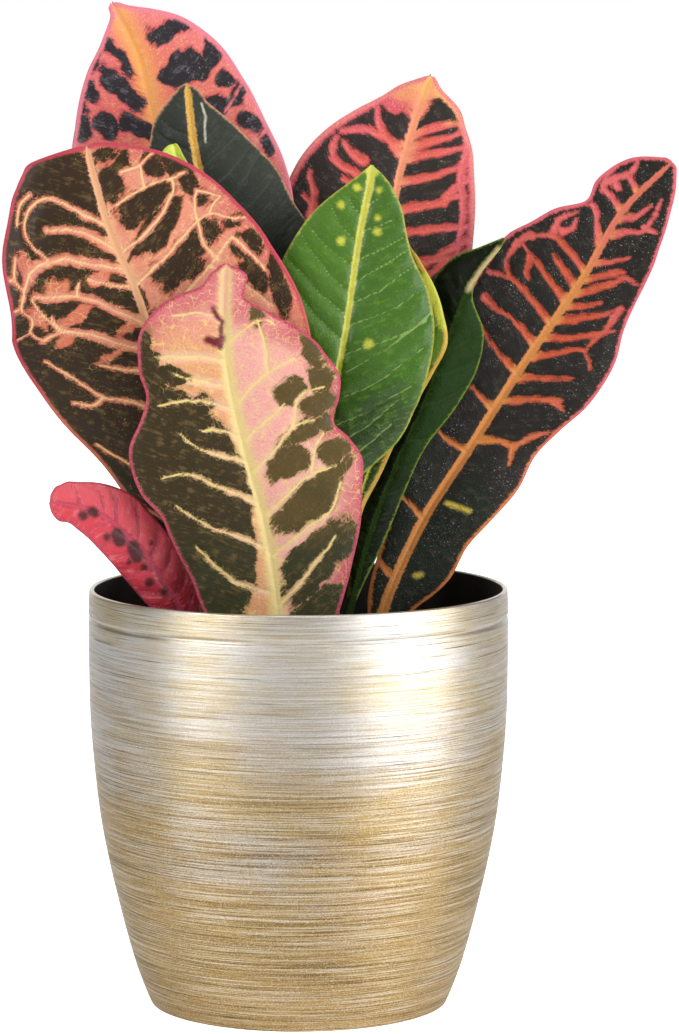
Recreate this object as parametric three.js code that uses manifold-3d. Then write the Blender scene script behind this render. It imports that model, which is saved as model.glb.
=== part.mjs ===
// Potted croton: four leafy cuttings in a nursery pot, set in a brushed-metal cover pot.
// Millimetres, +Z up. The origin is the centre of the cover pot's base. The front is -Y.
import * as THREE from 'three'
import { mergeVertices } from 'three/addons/utils/BufferGeometryUtils.js'
import Module from 'manifold-3d'

const wasm = await Module()
wasm.setup()

// Cover pot
const potHeight = 120
const potWall = 1.5
const potFloor = 2
const potOutline = [[42.9, 0], [44.2, 3], [46.8, 10], [49.7, 20], [52.2, 30], [54.5, 40], [57.1, 54],
  [58.9, 70], [59.9, 84], [60.2, 100]]
const potWidest = 60.2
const potGrooveDrop = 7.8
const potGrooveDepth = 0.4
const potGrooveHalf = 0.8
const potRimRadius = 60
const potLipRound = 0.4
const potSides = 48

// Nursery pot, its drain holes and the soil in it
const clearance = 0.3
const growPotBase = 37.5
const growPotShoulder = 50.5
const growPotRim = 53
const growPotHeight = 92
const growPotBand = 7
const growPotWall = 1.2
const growPotStep = 0.6
const growPotSides = 40
const drainHoles = { count: 6, radius: 4, ring: 27, sides: 12 }
const soilTop = 86
const soilSink = 0.4
const soilShrink = 0.5
const soilShoulder = 1.5
const soilRings = 6
// Each swell of the soil: height, waves per mm across and to the rear, start
const soilSwells = [[0.9, 0.31, 0, 1], [0.9, 0, 0.27, 1.6], [0.5, 0.12, -0.52, 0]]

// Stems: where each one stands in the soil and how high it grows
const stemRadius = 3
const stemDepth = 16
const stemSides = 12
// A stem's waist below each leaf node and its swelling there, as height from the node and change in radius
const stemKnuckle = [[-4, -0.2], [-1.5, 0.3], [0.5, 0.1]]
const stemBud = [[-2.5, 0.3], [-0.6, 1.4]]
const stems = {
  stem_front: { at: [-4.5, -30], top: 110, nodes: [94] },
  stem_left: { at: [-18, 6], top: 160, nodes: [97, 103, 112, 142, 150] },
  stem_right: { at: [9, -6], top: 133, nodes: [95, 103, 122] },
  stem_rear: { at: [-3, 28], top: 164, nodes: [105, 118, 132, 140, 157] },
}

// Leaves
const bladeThickness = 0.8
const petioleRadius = 1.5
const petioleEdge = 0.3
const tipWidth = 0.4
const ribDepth = 1.1
const petioleRows = 2
const openingShare = 1 / 6
const columns = [-1, -0.6, -0.2, 0, 0.2, 0.6, 1]

const colours = {
  metal: 0xb3a585, black: 0x17171a, earth: 0x3a2a1e, bark: 0x6d6a45,
  pinkYellow: 0xd8706c, coral: 0xc9554f, dark: 0x33372f, lime: 0xb6c92c, oliveRose: 0x6f4438,
  peach: 0xcf8f6d, green: 0x4d7d26, greenYellow: 0x8a8f2c, deepGreen: 0x28481d, blackRed: 0x3b1f1b,
  crimson: 0xb8383f, underside: 0x4b4a30,
}

// Half-widths of a plain leaf, as shares of its widest, from petiole to tip
const plainLeaf = [0.05, 0.34, 0.56, 0.74, 0.87, 0.95, 1, 0.97, 0.88, 0.72, 0.5, 0.27, 0.04]
const plain = (width) => plainLeaf.map((share) => share * width)

// Each leaf: its rib from the stem's axis to the tip, the share of the rib that is petiole, the
// half-widths at even stations of the blade (closer together towards the tip), the way its upper
// side faces at the base and the tip, how far each half folds up and then curls, and its waves.
const leaves = {
  leaf_back_left: {
    stem: 'stem_left', colour: colours.pinkYellow, petiole: 0.2,
    rib: [[-18, 6, 142], [-23, 12, 152], [-26.5, 15.5, 170], [-32.5, 20, 202.5], [-38, 26, 231],
      [-42.5, 31, 255], [-47.5, 34, 273.5], [-54.5, 35, 286.5]],
    left: [1.5, 13.5, 20.5, 25, 26.5, 25.5, 22, 18, 13.5, 7.5, 2.5, 1.5, 0.5],
    right: [1.5, 21, 32, 35.5, 35, 31.5, 28, 24, 17.5, 10, 4.5, 2, 0.5],
    face: [[0, -1, 0.3], [0, -1, 0.1]], fold: [8, 8], curl: [-12, -12], wave: [1, 2.5, 0.4],
  },
  leaf_back_right: {
    stem: 'stem_rear', colour: colours.coral, petiole: 0.207,
    rib: [[-3, 28, 157], [5, 26, 166], [15.5, 24, 173], [21, 26, 198], [26.5, 29, 222.5],
      [30, 32, 240], [35.5, 34, 257.5], [38.5, 34, 265.5]],
    left: [1.5, 15.5, 24.5, 29.5, 32, 30, 24.5, 18, 12, 8, 4, 1.5, 0.5],
    right: [1.5, 17, 23.5, 25.5, 24.5, 23, 21, 18.5, 14.5, 11, 4.5, 2, 1],
    face: [[0.05, -1, 0.3], [0.1, -1, 0.1]], fold: [8, 10], curl: [-12, -14], wave: [1, 2.5, 2],
  },
  leaf_centre_dark: {
    stem: 'stem_left', colour: colours.dark, petiole: 0.25,
    rib: [[-18, 6, 150], [-17.5, 10, 158], [-18, 11.5, 170], [-19, 11, 182], [-23, 12, 207.5],
      [-27, 13, 231.5], [-30, 14, 246.5], [-32, 15, 263.5]],
    left: [1.5, 11, 16, 18.5, 19, 17.5, 15, 12.5, 10.5, 7, 4, 2, 0.5],
    right: [1.5, 18.5, 26.5, 29, 25, 22, 17.5, 13.5, 9, 5, 3.5, 1, 0.5],
    face: [[0, -1, 0.2], [0, -1, 0.1]], fold: [6, 8], curl: [-8, -14], wave: [0.5, 2, 1],
  },
  leaf_young: {
    stem: 'stem_left', colour: colours.lime, petiole: 0.205,
    rib: [[-18, 6, 158], [-19, 5, 166], [-20.5, 4, 176], [-25, 4, 202], [-31, 5, 230.5], [-35.5, 6, 246.5]],
    left: [1.5, 4, 6.5, 8.5, 10, 10.5, 10.5, 9.5, 8.5, 7, 5, 3, 1.5],
    right: [1.5, 4, 5, 6, 6, 5.5, 4.5, 4, 3, 2, 1.5, 1, 0.5],
    face: [[0.1, -1, 0.2], [0.1, -1, 0.1]], fold: [25, 25], curl: [0, 0], wave: [0, 1, 0],
  },
  leaf_left: {
    stem: 'stem_left', colour: colours.oliveRose, petiole: 0.149,
    rib: [[-18, 6, 102], [-24, 1, 109], [-29.5, -3, 119.5], [-33, -6, 145.5], [-37, -7, 170],
      [-41, -7, 190], [-45.5, -6, 204.5], [-53, -4, 221.5], [-58.5, -1, 240], [-60, 0, 246]],
    left: [1.5, 12, 21, 32, 37.5, 38.5, 35, 32, 27.5, 24, 20, 16.5, 6],
    right: [1.5, 22.5, 35.5, 43, 44, 40.5, 36.5, 34, 29, 22, 14, 7.5, 3],
    face: [[-0.1, -1, 0.15], [-0.05, -1, 0.2]], fold: [10, 6], curl: [-25, -14], wave: [1.2, 3, 0.8],
  },
  leaf_front: {
    stem: 'stem_front', colour: colours.peach, petiole: 0.075,
    rib: [[-4.5, -30, 94], [-4.5, -26.5, 97], [-4, -24.5, 102], [-5.5, -23, 116], [-9, -21, 139.5],
      [-15, -19, 162], [-19.5, -17, 183], [-20.5, -16, 198.5], [-20, -15, 213.5]],
    left: [6, 16.5, 21, 23, 25.5, 27, 28, 31.5, 32.5, 31.5, 27, 24, 25, 25, 24.5, 22.5, 19, 14,
      7.5, 5.5, 4.5, 3, 2, 1, 0.5],
    right: [6, 15, 19.5, 23, 26.5, 29, 31.5, 29.5, 26.5, 29.5, 31, 30, 28, 26, 22, 16.5, 11, 5.5,
      5.5, 6, 6, 4.5, 2.5, 1, 0.5],
    face: [[0, -1, 0.15], [0.1, -1, 0.25]], fold: [10, 12], curl: [-20, -24], wave: [0.8, 3, 0],
  },
  leaf_centre_green: {
    stem: 'stem_right', colour: colours.green, petiole: 0.165,
    rib: [[9, -6, 126], [9, -5.5, 134], [9.5, -5, 143], [9, -3.5, 162.5], [10, -2, 173.5], [14, 0, 196.5],
      [17.5, 2, 220.5], [20.5, 3.5, 235.5], [21, 4.5, 240.5]],
    left: [1.5, 8.5, 15.5, 20, 22, 21.5, 18.5, 14.5, 10, 6, 3, 1, 0.5],
    right: [2.5, 18, 23.5, 25.5, 25, 21.5, 16, 13, 10.5, 7, 3.5, 1, 0.5],
    face: [[0.1, -1, 0.15], [0, -1, 0.2]], fold: [8, 12], curl: [-10, -24], wave: [0.5, 2, 2],
  },
  leaf_centre_narrow: {
    stem: 'stem_right', colour: colours.greenYellow, petiole: 0.195,
    rib: [[9, -6, 122], [13.5, -4, 127], [15.5, -2, 135], [17.5, -0.5, 146], [25, 2, 165], [29.5, 3, 176],
      [33.5, 4.5, 199], [31, 6, 219]],
    left: [1.5, 2.5, 4.5, 5.5, 6.5, 6.5, 6.5, 5.5, 4.5, 3, 1.5, 0.5, 0.5],
    right: [1.5, 3.5, 4, 5, 7.5, 10, 8, 6, 4, 2.5, 1, 0.5, 0.5],
    face: [[0.1, -1, 0.15], [0.1, -1, 0.1]], fold: [10, 10], curl: [0, 0], wave: [0, 1, 0],
  },
  leaf_right_folded: {
    stem: 'stem_right', colour: colours.deepGreen, petiole: 0.124,
    rib: [[9, -6, 103], [13, -4, 110], [15.5, -2, 117.5], [21, 0, 136.5], [27.5, 3, 153.5],
      [36.5, 5, 173], [43.5, 7, 192], [49, 8, 206], [59, 9, 219.5]],
    left: [1.5, 6, 8, 9, 9, 9.5, 11, 11, 9, 5, 2.5, 1, 0.5],
    right: [1.5, 4.5, 5.5, 6, 9.5, 11.5, 9.5, 2.5, 1, 1, 1, 0.5, 0.5],
    face: [[0.1, -1, 0.1], [0.1, -1, 0.1]], fold: [-32, -14], curl: [0, -4], wave: [0, 1, 0],
  },
  leaf_right: {
    stem: 'stem_right', colour: colours.blackRed, petiole: 0.099,
    rib: [[9, -6, 95], [15, 0, 98], [20.5, 6, 102.5], [27, 9, 119.5], [36, 12, 138], [49, 14.5, 158],
      [64.5, 17, 182], [82, 18, 207.5], [93.5, 18, 227], [107.5, 17, 241]],
    left: [1.5, 5.5, 7.5, 9.5, 12.5, 16, 19, 22, 24, 25.5, 26, 26, 24.5, 21, 17, 10.5, 11.5, 11,
      10, 8.5, 6.5, 4.5, 3, 2, 0.5],
    right: [1.5, 8.5, 14.5, 15, 17, 18.5, 17.5, 19.5, 22, 22.5, 21.5, 18.5, 17, 16.5, 16, 15, 14, 12.5,
      10.5, 8.5, 6.5, 4.5, 3, 2, 0.5],
    face: [[0.15, -1, 0.2], [0.1, -1, 0.2]], fold: [8, 10], curl: [-10, -18], wave: [0.8, 3.5, 1],
  },
  leaf_left_low: {
    stem: 'stem_left', colour: colours.crimson, petiole: 0.284,
    rib: [[-18, 6, 97], [-24, -6, 104], [-29, -11, 108.5], [-36.5, -15, 121], [-45, -17, 134],
      [-57, -18, 143.5], [-70, -17, 146.5]],
    left: [1.5, 6, 8, 9, 9, 8.5, 7.5, 6.5, 5, 5, 3.5, 1.5, 0.5],
    right: [1.5, 6.5, 7.5, 8.5, 9, 10, 9.5, 8.5, 7.5, 7, 5.5, 4.5, 2.5],
    face: [[-0.1, -1, 0.5], [-0.1, -1, 0.5]], fold: [6, 6], curl: [-24, -20], wave: [0.4, 2, 0],
  },
  leaf_rear_upright: {
    stem: 'stem_rear', colour: colours.underside, petiole: 0.22,
    rib: [[-3, 28, 140], [-3, 36, 149], [-2, 43, 165], [0, 50, 190], [2, 57, 214]],
    left: plain(17), right: plain(18),
    face: [[0, -1, 0.5], [0, -1, 0.4]], fold: [12, 12], curl: [-20, -20], wave: [1, 2.5, 1],
  },
  leaf_rear_left_high: {
    stem: 'stem_rear', colour: colours.coral, petiole: 0.25,
    rib: [[-3, 28, 133], [-12, 34, 142], [-22, 40, 151], [-38, 47, 168], [-54, 52, 188]],
    left: plain(15), right: plain(15),
    face: [[0.2, -0.8, 0.5], [0.2, -0.8, 0.6]], fold: [12, 12], curl: [-20, -20], wave: [1, 2.5, 2],
  },
  leaf_rear_right_high: {
    stem: 'stem_rear', colour: colours.pinkYellow, petiole: 0.25,
    rib: [[-3, 28, 130], [6, 34, 138], [16, 40, 147], [34, 49, 163], [52, 56, 180]],
    left: plain(15), right: plain(15),
    face: [[-0.2, -0.8, 0.5], [-0.2, -0.8, 0.6]], fold: [12, 12], curl: [-20, -20], wave: [1, 2.5, 3],
  },
  leaf_rear_left_low: {
    stem: 'stem_rear', colour: colours.oliveRose, petiole: 0.25,
    rib: [[-3, 28, 120], [-12, 37, 126], [-22, 46, 133], [-38, 54, 143], [-50, 59, 149]],
    left: plain(12), right: plain(12),
    face: [[0.2, -0.6, 0.8], [0.2, -0.5, 0.8]], fold: [12, 12], curl: [-20, -20], wave: [0.8, 2, 1],
  },
  leaf_rear_right_low: {
    stem: 'stem_rear', colour: colours.dark, petiole: 0.25,
    rib: [[-3, 28, 117], [6, 38, 122], [16, 46, 129], [34, 56, 138], [50, 62, 143]],
    left: plain(12), right: plain(12),
    face: [[-0.2, -0.6, 0.8], [-0.2, -0.5, 0.8]], fold: [12, 12], curl: [-20, -20], wave: [0.8, 2, 2],
  },
  leaf_rear_drooping: {
    stem: 'stem_rear', colour: colours.green, petiole: 0.28,
    rib: [[-3, 28, 105], [-2, 40, 114], [0, 52, 125], [3, 68, 130], [5, 82, 125], [6, 92, 116]],
    left: plain(12), right: plain(12),
    face: [[0, -0.6, 0.8], [0, 0.5, 0.9]], fold: [12, 12], curl: [-16, -16], wave: [0.8, 2, 0],
  },
  leaf_left_rear: {
    stem: 'stem_left', colour: colours.crimson, petiole: 0.25,
    rib: [[-18, 6, 112], [-25, 14, 117], [-32, 20.5, 122], [-43.5, 29, 133], [-53, 36, 143]],
    left: plain(10), right: plain(10),
    face: [[0.3, -0.6, 0.7], [0.3, -0.6, 0.7]], fold: [12, 12], curl: [-20, -20], wave: [0.6, 2, 1],
  },
}

const parts = new THREE.Group()

function addPart(name, geometry, colour, roughness, metalness = 0) {
  const material = new THREE.MeshStandardMaterial({ color: colour, roughness, metalness })
  const mesh = new THREE.Mesh(geometry, material)
  mesh.name = name
  parts.add(mesh)
}

// A three.js geometry as a solid that can be cut, and back again
function toSolid(geometry) {
  const bare = geometry.clone()
  bare.deleteAttribute('normal')
  bare.deleteAttribute('uv')
  const merged = mergeVertices(bare, 1e-4)
  const mesh = new wasm.Mesh({
    numProp: 3,
    vertProperties: new Float32Array(merged.attributes.position.array),
    triVerts: new Uint32Array(merged.index.array),
  })
  return new wasm.Manifold(mesh)
}

function toGeometry(solid) {
  const mesh = solid.getMesh()
  const geometry = new THREE.BufferGeometry()
  geometry.setAttribute('position', new THREE.BufferAttribute(new Float32Array(mesh.vertProperties), 3))
  geometry.setIndex(new THREE.BufferAttribute(new Uint32Array(mesh.triVerts), 1))
  return geometry
}

// A closed profile of [radius, height] points turned about the upright axis
function turned(profile, sides) {
  const points = profile.map(([radius, height]) => new THREE.Vector2(radius, height))
  return new THREE.LatheGeometry(points, sides).rotateX(Math.PI / 2)
}

function coverPot() {
  const grooveAt = potHeight - potGrooveDrop
  const rim = potRimRadius
  const lip = potLipRound
  const inner = potOutline.filter((point, i) => i % 2).reverse().map(([radius, height]) => [radius - potWall, height])
  const profile = [
    [0, 0], ...potOutline,
    [potWidest, grooveAt - potGrooveHalf], [potWidest - potGrooveDepth, grooveAt],
    [potWidest, grooveAt + potGrooveHalf],
    [rim, potHeight - 2 * lip], [rim - lip, potHeight - lip / 3], [rim - potWall / 2, potHeight],
    [rim - potWall + lip / 2, potHeight - lip], [rim - potWall, potHeight - 2.5 * lip],
    ...inner, [potOutline[0][0] - potWall, potFloor], [0, potFloor],
  ]
  return turned(profile, potSides)
}

// Radius of the nursery pot's outside below its rim band, and the height where the band starts
const growPotFoot = potFloor + clearance
const growPotTop = growPotFoot + growPotHeight
const growPotRadius = (z) => growPotBase
  + (growPotShoulder - growPotBase) * (z - growPotFoot) / (growPotHeight - growPotBand)

function growPot() {
  const bandZ = growPotTop - growPotBand
  const step = growPotStep
  const wall = growPotWall
  const inside = growPotFoot + wall
  const profile = [
    [0, growPotFoot], [growPotBase, growPotFoot], [growPotShoulder, bandZ], [growPotRim - step, bandZ + step],
    [growPotRim, growPotTop], [growPotRim - wall, growPotTop],
    [growPotRim - wall - step, bandZ + step + wall], [growPotShoulder - wall, bandZ + wall],
    [growPotRadius(inside) - wall, inside], [0, inside],
  ]
  let solid = toSolid(turned(profile, growPotSides))
  for (let i = 0; i < drainHoles.count; i++) {
    const angle = 2 * Math.PI * i / drainHoles.count
    const { radius, sides } = drainHoles
    const drill = new THREE.CylinderGeometry(radius, radius, 4 * wall, sides).rotateX(Math.PI / 2)
    drill.translate(drainHoles.ring * Math.cos(angle), drainHoles.ring * Math.sin(angle), growPotFoot)
    solid = solid.subtract(toSolid(drill))
  }
  return toGeometry(solid)
}

// A stem that swells a little at each leaf node and ends in a rounded bud; grow widens it all round
function stemGeometry(stem, grow = 0) {
  const foot = soilTop - stemDepth + clearance - grow
  const radius = stemRadius + grow
  const profile = [[0, foot], [radius, foot]]
  for (const node of stem.nodes) {
    profile.push(...stemKnuckle.map(([height, swell]) => [radius + swell, node + height]))
  }
  const high = stem.top + grow
  const bud = stemBud.map(([height, draw]) => [radius - draw, high + height])
  const clean = profile.filter(([, z], i) => i < 2 || (z > profile[i - 1][1] && z < bud[0][1] - 1))
  return turned([...clean, ...bud, [0, high]], stemSides).translate(stem.at[0], stem.at[1], 0)
}

function soil() {
  const floor = growPotFoot + growPotWall + clearance
  const wall = (z) => growPotRadius(z) - growPotWall - soilShrink
  const shoulder = soilTop - soilShoulder
  const profile = [[0, floor], [wall(floor), floor], [wall(shoulder), shoulder]]
  const top = wall(shoulder) - soilShoulder
  for (let ring = 0; ring < soilRings; ring++) {
    profile.push([top * (1 - ring / soilRings), soilTop])
  }
  profile.push([0, soilTop])
  const geometry = turned(profile, growPotSides)
  const at = geometry.attributes.position
  for (let i = 0; i < at.count; i++) {
    if (at.getZ(i) < soilTop - soilSink) continue
    let z = soilTop - soilSink
    for (const [height, across, back, start] of soilSwells) {
      z += height * Math.sin(across * at.getX(i) + back * at.getY(i) + start) / 2
    }
    at.setZ(i, z)
  }
  let solid = toSolid(geometry)
  for (const stem of Object.values(stems)) {
    solid = solid.subtract(toSolid(stemGeometry(stem, clearance)))
  }
  return toGeometry(solid)
}

// A smooth value through a list of evenly spaced ones
function smoothAt(list, where) {
  const i = Math.min(Math.floor(where), list.length - 2)
  const f = where - i
  const a = list[Math.max(i - 1, 0)]
  const b = list[i]
  const c = list[i + 1]
  const d = list[Math.min(i + 2, list.length - 1)]
  return b + 0.5 * f * (c - a + f * (2 * a - 5 * b + 4 * c - d + f * (3 * (b - c) + d - a)))
}

// The middle surface of a leaf: rows of points from the stem to the tip
function leafRows(leaf) {
  const rib = new THREE.CatmullRomCurve3(leaf.rib.map((p) => new THREE.Vector3(...p)), false, 'centripetal')
  rib.arcLengthDivisions = 600
  const base = new THREE.Vector3(...leaf.face[0])
  const tip = new THREE.Vector3(...leaf.face[1])
  const rows = []
  const stations = leaf.left.length - 1
  for (let row = 0; row <= petioleRows + stations; row++) {
    const q = Math.max(0, (row - petioleRows) / stations)
    const along = 1 - (1 - q) ** 2
    const u = row < petioleRows ? leaf.petiole * row / petioleRows : leaf.petiole + (1 - leaf.petiole) * along
    const centre = rib.getPointAt(u)
    const tangent = rib.getTangentAt(u)
    const face = base.clone().lerp(tip, along)
    face.addScaledVector(tangent, -face.dot(tangent)).normalize()
    const side = tangent.clone().cross(face)
    const open = Math.min(1, q / openingShare)
    const points = columns.map((column) => {
      const half = column < 0 ? 0 : 1
      const share = Math.abs(column)
      const least = THREE.MathUtils.lerp(petioleRadius, tipWidth, q)
      const wanted = smoothAt([leaf.left, leaf.right][half], q * stations)
      const width = row < petioleRows ? petioleRadius : Math.max(least, wanted)
      const fold = THREE.MathUtils.degToRad(leaf.fold[half]) * open
      const curl = THREE.MathUtils.degToRad(leaf.curl[half]) * open * share || 1e-6
      const reach = width * share / curl
      const out = reach * (Math.sin(fold + curl) - Math.sin(fold))
      const [height, count, phase] = leaf.wave
      const wave = height * share ** 2 * Math.sin(2 * Math.PI * count * along + phase + half) * open * (1 - q ** 4)
      const up = -reach * (Math.cos(fold + curl) - Math.cos(fold)) + wave
      return centre.clone().addScaledVector(side, Math.sign(column) * out).addScaledVector(face, up)
    })
    rows.push({ points, face, q, blade: open })
  }
  return rows
}

// The leaf as one closed solid: upper and lower faces alike, joined round the margin
function leafGeometry(leaf) {
  const rows = leafRows(leaf)
  const wide = columns.length
  const positions = []
  const put = (i, j, sign) => {
    const { points, face, q, blade } = rows[i]
    const before = rows[Math.max(i - 1, 0)].points[j]
    const after = rows[Math.min(i + 1, rows.length - 1)].points[j]
    const left = points[Math.max(j - 1, 0)]
    const right = points[Math.min(j + 1, wide - 1)]
    const normal = after.clone().sub(before).cross(right.clone().sub(left)).normalize()
    if (normal.dot(face) < 0) normal.negate()
    const round = Math.max(petioleEdge, petioleRadius * Math.sqrt(1 - columns[j] ** 2))
    const rib = sign < 0 && columns[j] === 0 ? ribDepth * (1 - q) : 0
    const thick = THREE.MathUtils.lerp(round, bladeThickness / 2 + rib, blade)
    positions.push(...points[j].clone().addScaledVector(normal, sign * thick).toArray())
  }
  for (const sign of [1, -1]) {
    for (let i = 0; i < rows.length; i++) {
      for (let j = 0; j < wide; j++) put(i, j, sign)
    }
  }
  const under = rows.length * wide
  const at = (i, j) => i * wide + j
  const index = []
  const quad = (a, b, c, d) => index.push(a, b, c, a, c, d)
  const last = rows.length - 1
  for (let i = 0; i < last; i++) {
    for (let j = 0; j < wide - 1; j++) {
      const [a, b, c, d] = [at(i, j), at(i, j + 1), at(i + 1, j + 1), at(i + 1, j)]
      quad(a, b, c, d)
      index.push(under + a, under + c, under + b, under + a, under + d, under + c)
    }
    quad(at(i, 0), at(i + 1, 0), under + at(i + 1, 0), under + at(i, 0))
    quad(at(i, wide - 1), under + at(i, wide - 1), under + at(i + 1, wide - 1), at(i + 1, wide - 1))
  }
  for (let j = 0; j < wide - 1; j++) {
    quad(at(0, j), under + at(0, j), under + at(0, j + 1), at(0, j + 1))
    quad(at(last, j + 1), under + at(last, j + 1), under + at(last, j), at(last, j))
  }
  const geometry = new THREE.BufferGeometry()
  geometry.setAttribute('position', new THREE.Float32BufferAttribute(positions, 3))
  geometry.setIndex(index)
  return geometry
}

// The leaf cut clear of its stem, with the scrap beyond the stem dropped
function seatedLeaf(leaf) {
  const seat = toSolid(stemGeometry(stems[leaf.stem], clearance))
  const pieces = toSolid(leafGeometry(leaf)).subtract(seat).decompose()
  pieces.sort((a, b) => b.volume() - a.volume())
  return toGeometry(pieces[0])
}

addPart('pot', coverPot(), colours.metal, 0.35, 0.8)
addPart('grow_pot', growPot(), colours.black, 0.6)
addPart('soil', soil(), colours.earth, 1)
for (const [name, stem] of Object.entries(stems)) {
  addPart(name, stemGeometry(stem), colours.bark, 0.8)
}
for (const [name, leaf] of Object.entries(leaves)) {
  addPart(name, seatedLeaf(leaf), leaf.colour, 0.4)
}

export default parts
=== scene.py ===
import math
from types import SimpleNamespace

import bpy
import numpy as np
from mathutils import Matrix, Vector, noise as blenderNoise


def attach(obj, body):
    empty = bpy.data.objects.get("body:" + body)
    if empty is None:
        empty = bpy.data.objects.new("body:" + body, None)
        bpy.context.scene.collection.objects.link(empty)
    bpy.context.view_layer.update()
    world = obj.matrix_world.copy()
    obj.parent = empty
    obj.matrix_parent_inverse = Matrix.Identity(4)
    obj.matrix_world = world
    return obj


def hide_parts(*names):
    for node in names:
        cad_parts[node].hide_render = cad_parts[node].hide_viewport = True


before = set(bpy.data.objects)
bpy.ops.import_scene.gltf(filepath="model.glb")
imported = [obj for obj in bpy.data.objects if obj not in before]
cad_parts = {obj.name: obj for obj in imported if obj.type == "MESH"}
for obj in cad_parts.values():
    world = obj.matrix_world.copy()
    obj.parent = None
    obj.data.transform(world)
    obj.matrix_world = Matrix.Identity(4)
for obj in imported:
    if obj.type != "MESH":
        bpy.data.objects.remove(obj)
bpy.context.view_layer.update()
rng = np.random.default_rng(7)
blenderNoise.seed_set(7)  # its vectors would start from the clock otherwise
mm = 0.001  # every shape below is in millimetres and is scaled as its mesh is made
print("frame loaded:", len(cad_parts), "nodes")


# Shader helpers

def srgb(code):
    parts = [int(code[i:i + 2], 16) / 255 for i in (0, 2, 4)]
    linear = [part / 12.92 if part <= 0.04045 else ((part + 0.055) / 1.055) ** 2.4 for part in parts]
    return (*linear, 1.0)


def greyLevel(level):
    return (level, level, level, 1.0)


def addNode(tree, kind, inputs=None, **settings):
    node = tree.nodes.new(kind)
    for name, value in settings.items():
        setattr(node, name, value)
    for key, value in (inputs or {}).items():
        if isinstance(value, bpy.types.NodeSocket):
            tree.links.new(value, node.inputs[key])
        else:
            node.inputs[key].default_value = value
    return node


def calc(tree, operation, *values):
    return addNode(tree, "ShaderNodeMath", dict(enumerate(values)), operation=operation).outputs[0]


def times(tree, first, second):
    return calc(tree, "MULTIPLY", first, second)


def plus(tree, first, second, share=None):
    # The second value may be scaled on its way in
    return calc(tree, "ADD", first, second if share is None else times(tree, second, share))


def ramp(tree, value, low, high, toLow=0.0, toHigh=1.0):
    inputs = {"Value": value, "From Min": low, "From Max": high, "To Min": toLow, "To Max": toHigh}
    return addNode(tree, "ShaderNodeMapRange", inputs, interpolation_type="SMOOTHSTEP").outputs[0]


def blend(tree, share, first, second, how="MIX"):
    inputs = {0: share, 6: first, 7: second}
    return addNode(tree, "ShaderNodeMix", inputs, data_type="RGBA", blend_type=how).outputs[2]


def grain(tree, where, scale, detail=3.0, roughness=0.55):
    inputs = {"Vector": where, "Scale": scale, "Detail": detail, "Roughness": roughness}
    return addNode(tree, "ShaderNodeTexNoise", inputs).outputs[0]


def aboutZero(tree, value):
    return calc(tree, "SUBTRACT", value, 0.5)


def stretched(tree, where, scale):
    return addNode(tree, "ShaderNodeVectorMath", {0: where, 1: scale}, operation="MULTIPLY").outputs[0]


def cells(tree, where, scale):
    return addNode(tree, "ShaderNodeTexVoronoi", {"Vector": where, "Scale": scale}).outputs


def coordinate(tree, where, axis):
    return addNode(tree, "ShaderNodeSeparateXYZ", {0: where}).outputs[axis]


def onObject(tree):
    return addNode(tree, "ShaderNodeTexCoord").outputs["Object"]


def layerOf(tree, name, kind="Fac"):
    return addNode(tree, "ShaderNodeAttribute", attribute_name=name).outputs[kind]


def newGroup(name, inputs):
    # Every group gives a colour, a roughness and a height for the bump
    group = bpy.data.node_groups.new(name, "ShaderNodeTree")
    for label, value in inputs.items():
        isColour = isinstance(value, str)
        kind = "NodeSocketColor" if isColour else "NodeSocketFloat"
        socket = group.interface.new_socket(label, in_out="INPUT", socket_type=kind)
        socket.default_value = srgb(value) if isColour else value
    for label, kind in (("Colour", "Color"), ("Roughness", "Float"), ("Height", "Float")):
        group.interface.new_socket(label, in_out="OUTPUT", socket_type="NodeSocket" + kind)
    return group, addNode(group, "NodeGroupInput").outputs


def endGroup(group, colour, roughness, height):
    addNode(group, "NodeGroupOutput", {"Colour": colour, "Roughness": roughness, "Height": height})


def newMaterial(name):
    material = bpy.data.materials.new(name)
    material.use_nodes = True
    tree = material.node_tree
    return material, tree, tree.nodes["Principled BSDF"]


def setBump(tree, shader, height, distance):
    bump = addNode(tree, "ShaderNodeBump", {"Height": height, "Distance": distance * mm})
    tree.links.new(bump.outputs[0], shader.inputs["Normal"])


def groupMaterial(name, group, values, bump):
    material, tree, shader = newMaterial(name)
    placed = addNode(tree, "ShaderNodeGroup", node_tree=group)
    for label, value in values.items():
        placed.inputs[label].default_value = srgb(value) if isinstance(value, str) else value
    tree.links.new(placed.outputs["Colour"], shader.inputs["Base Color"])
    tree.links.new(placed.outputs["Roughness"], shader.inputs["Roughness"])
    setBump(tree, shader, placed.outputs["Height"], bump)
    return material, shader


# Mesh helpers

def makePiece(name, vertices, faces, materials, nodeName, faceMaterials=None, layers=None):
    mesh = bpy.data.meshes.new(name)
    mesh.from_pydata((np.asarray(vertices) * mm).tolist(), [], faces)
    for material in materials:
        mesh.materials.append(material)
    if faceMaterials is not None:
        mesh.polygons.foreach_set("material_index", np.asarray(faceMaterials, np.int32))
    for layerName, values in (layers or {}).items():
        values = np.asarray(values, np.float32)
        flat = values.ndim == 1
        layer = mesh.attributes.new(layerName, "FLOAT" if flat else "FLOAT_VECTOR", "POINT")
        layer.data.foreach_set("value" if flat else "vector", values.ravel())
    mesh.polygons.foreach_set("use_smooth", np.ones(len(mesh.polygons), bool))
    mesh.update()
    piece = bpy.data.objects.new(name, mesh)
    bpy.context.scene.collection.objects.link(piece)
    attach(piece, "root")
    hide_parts(nodeName)


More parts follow.
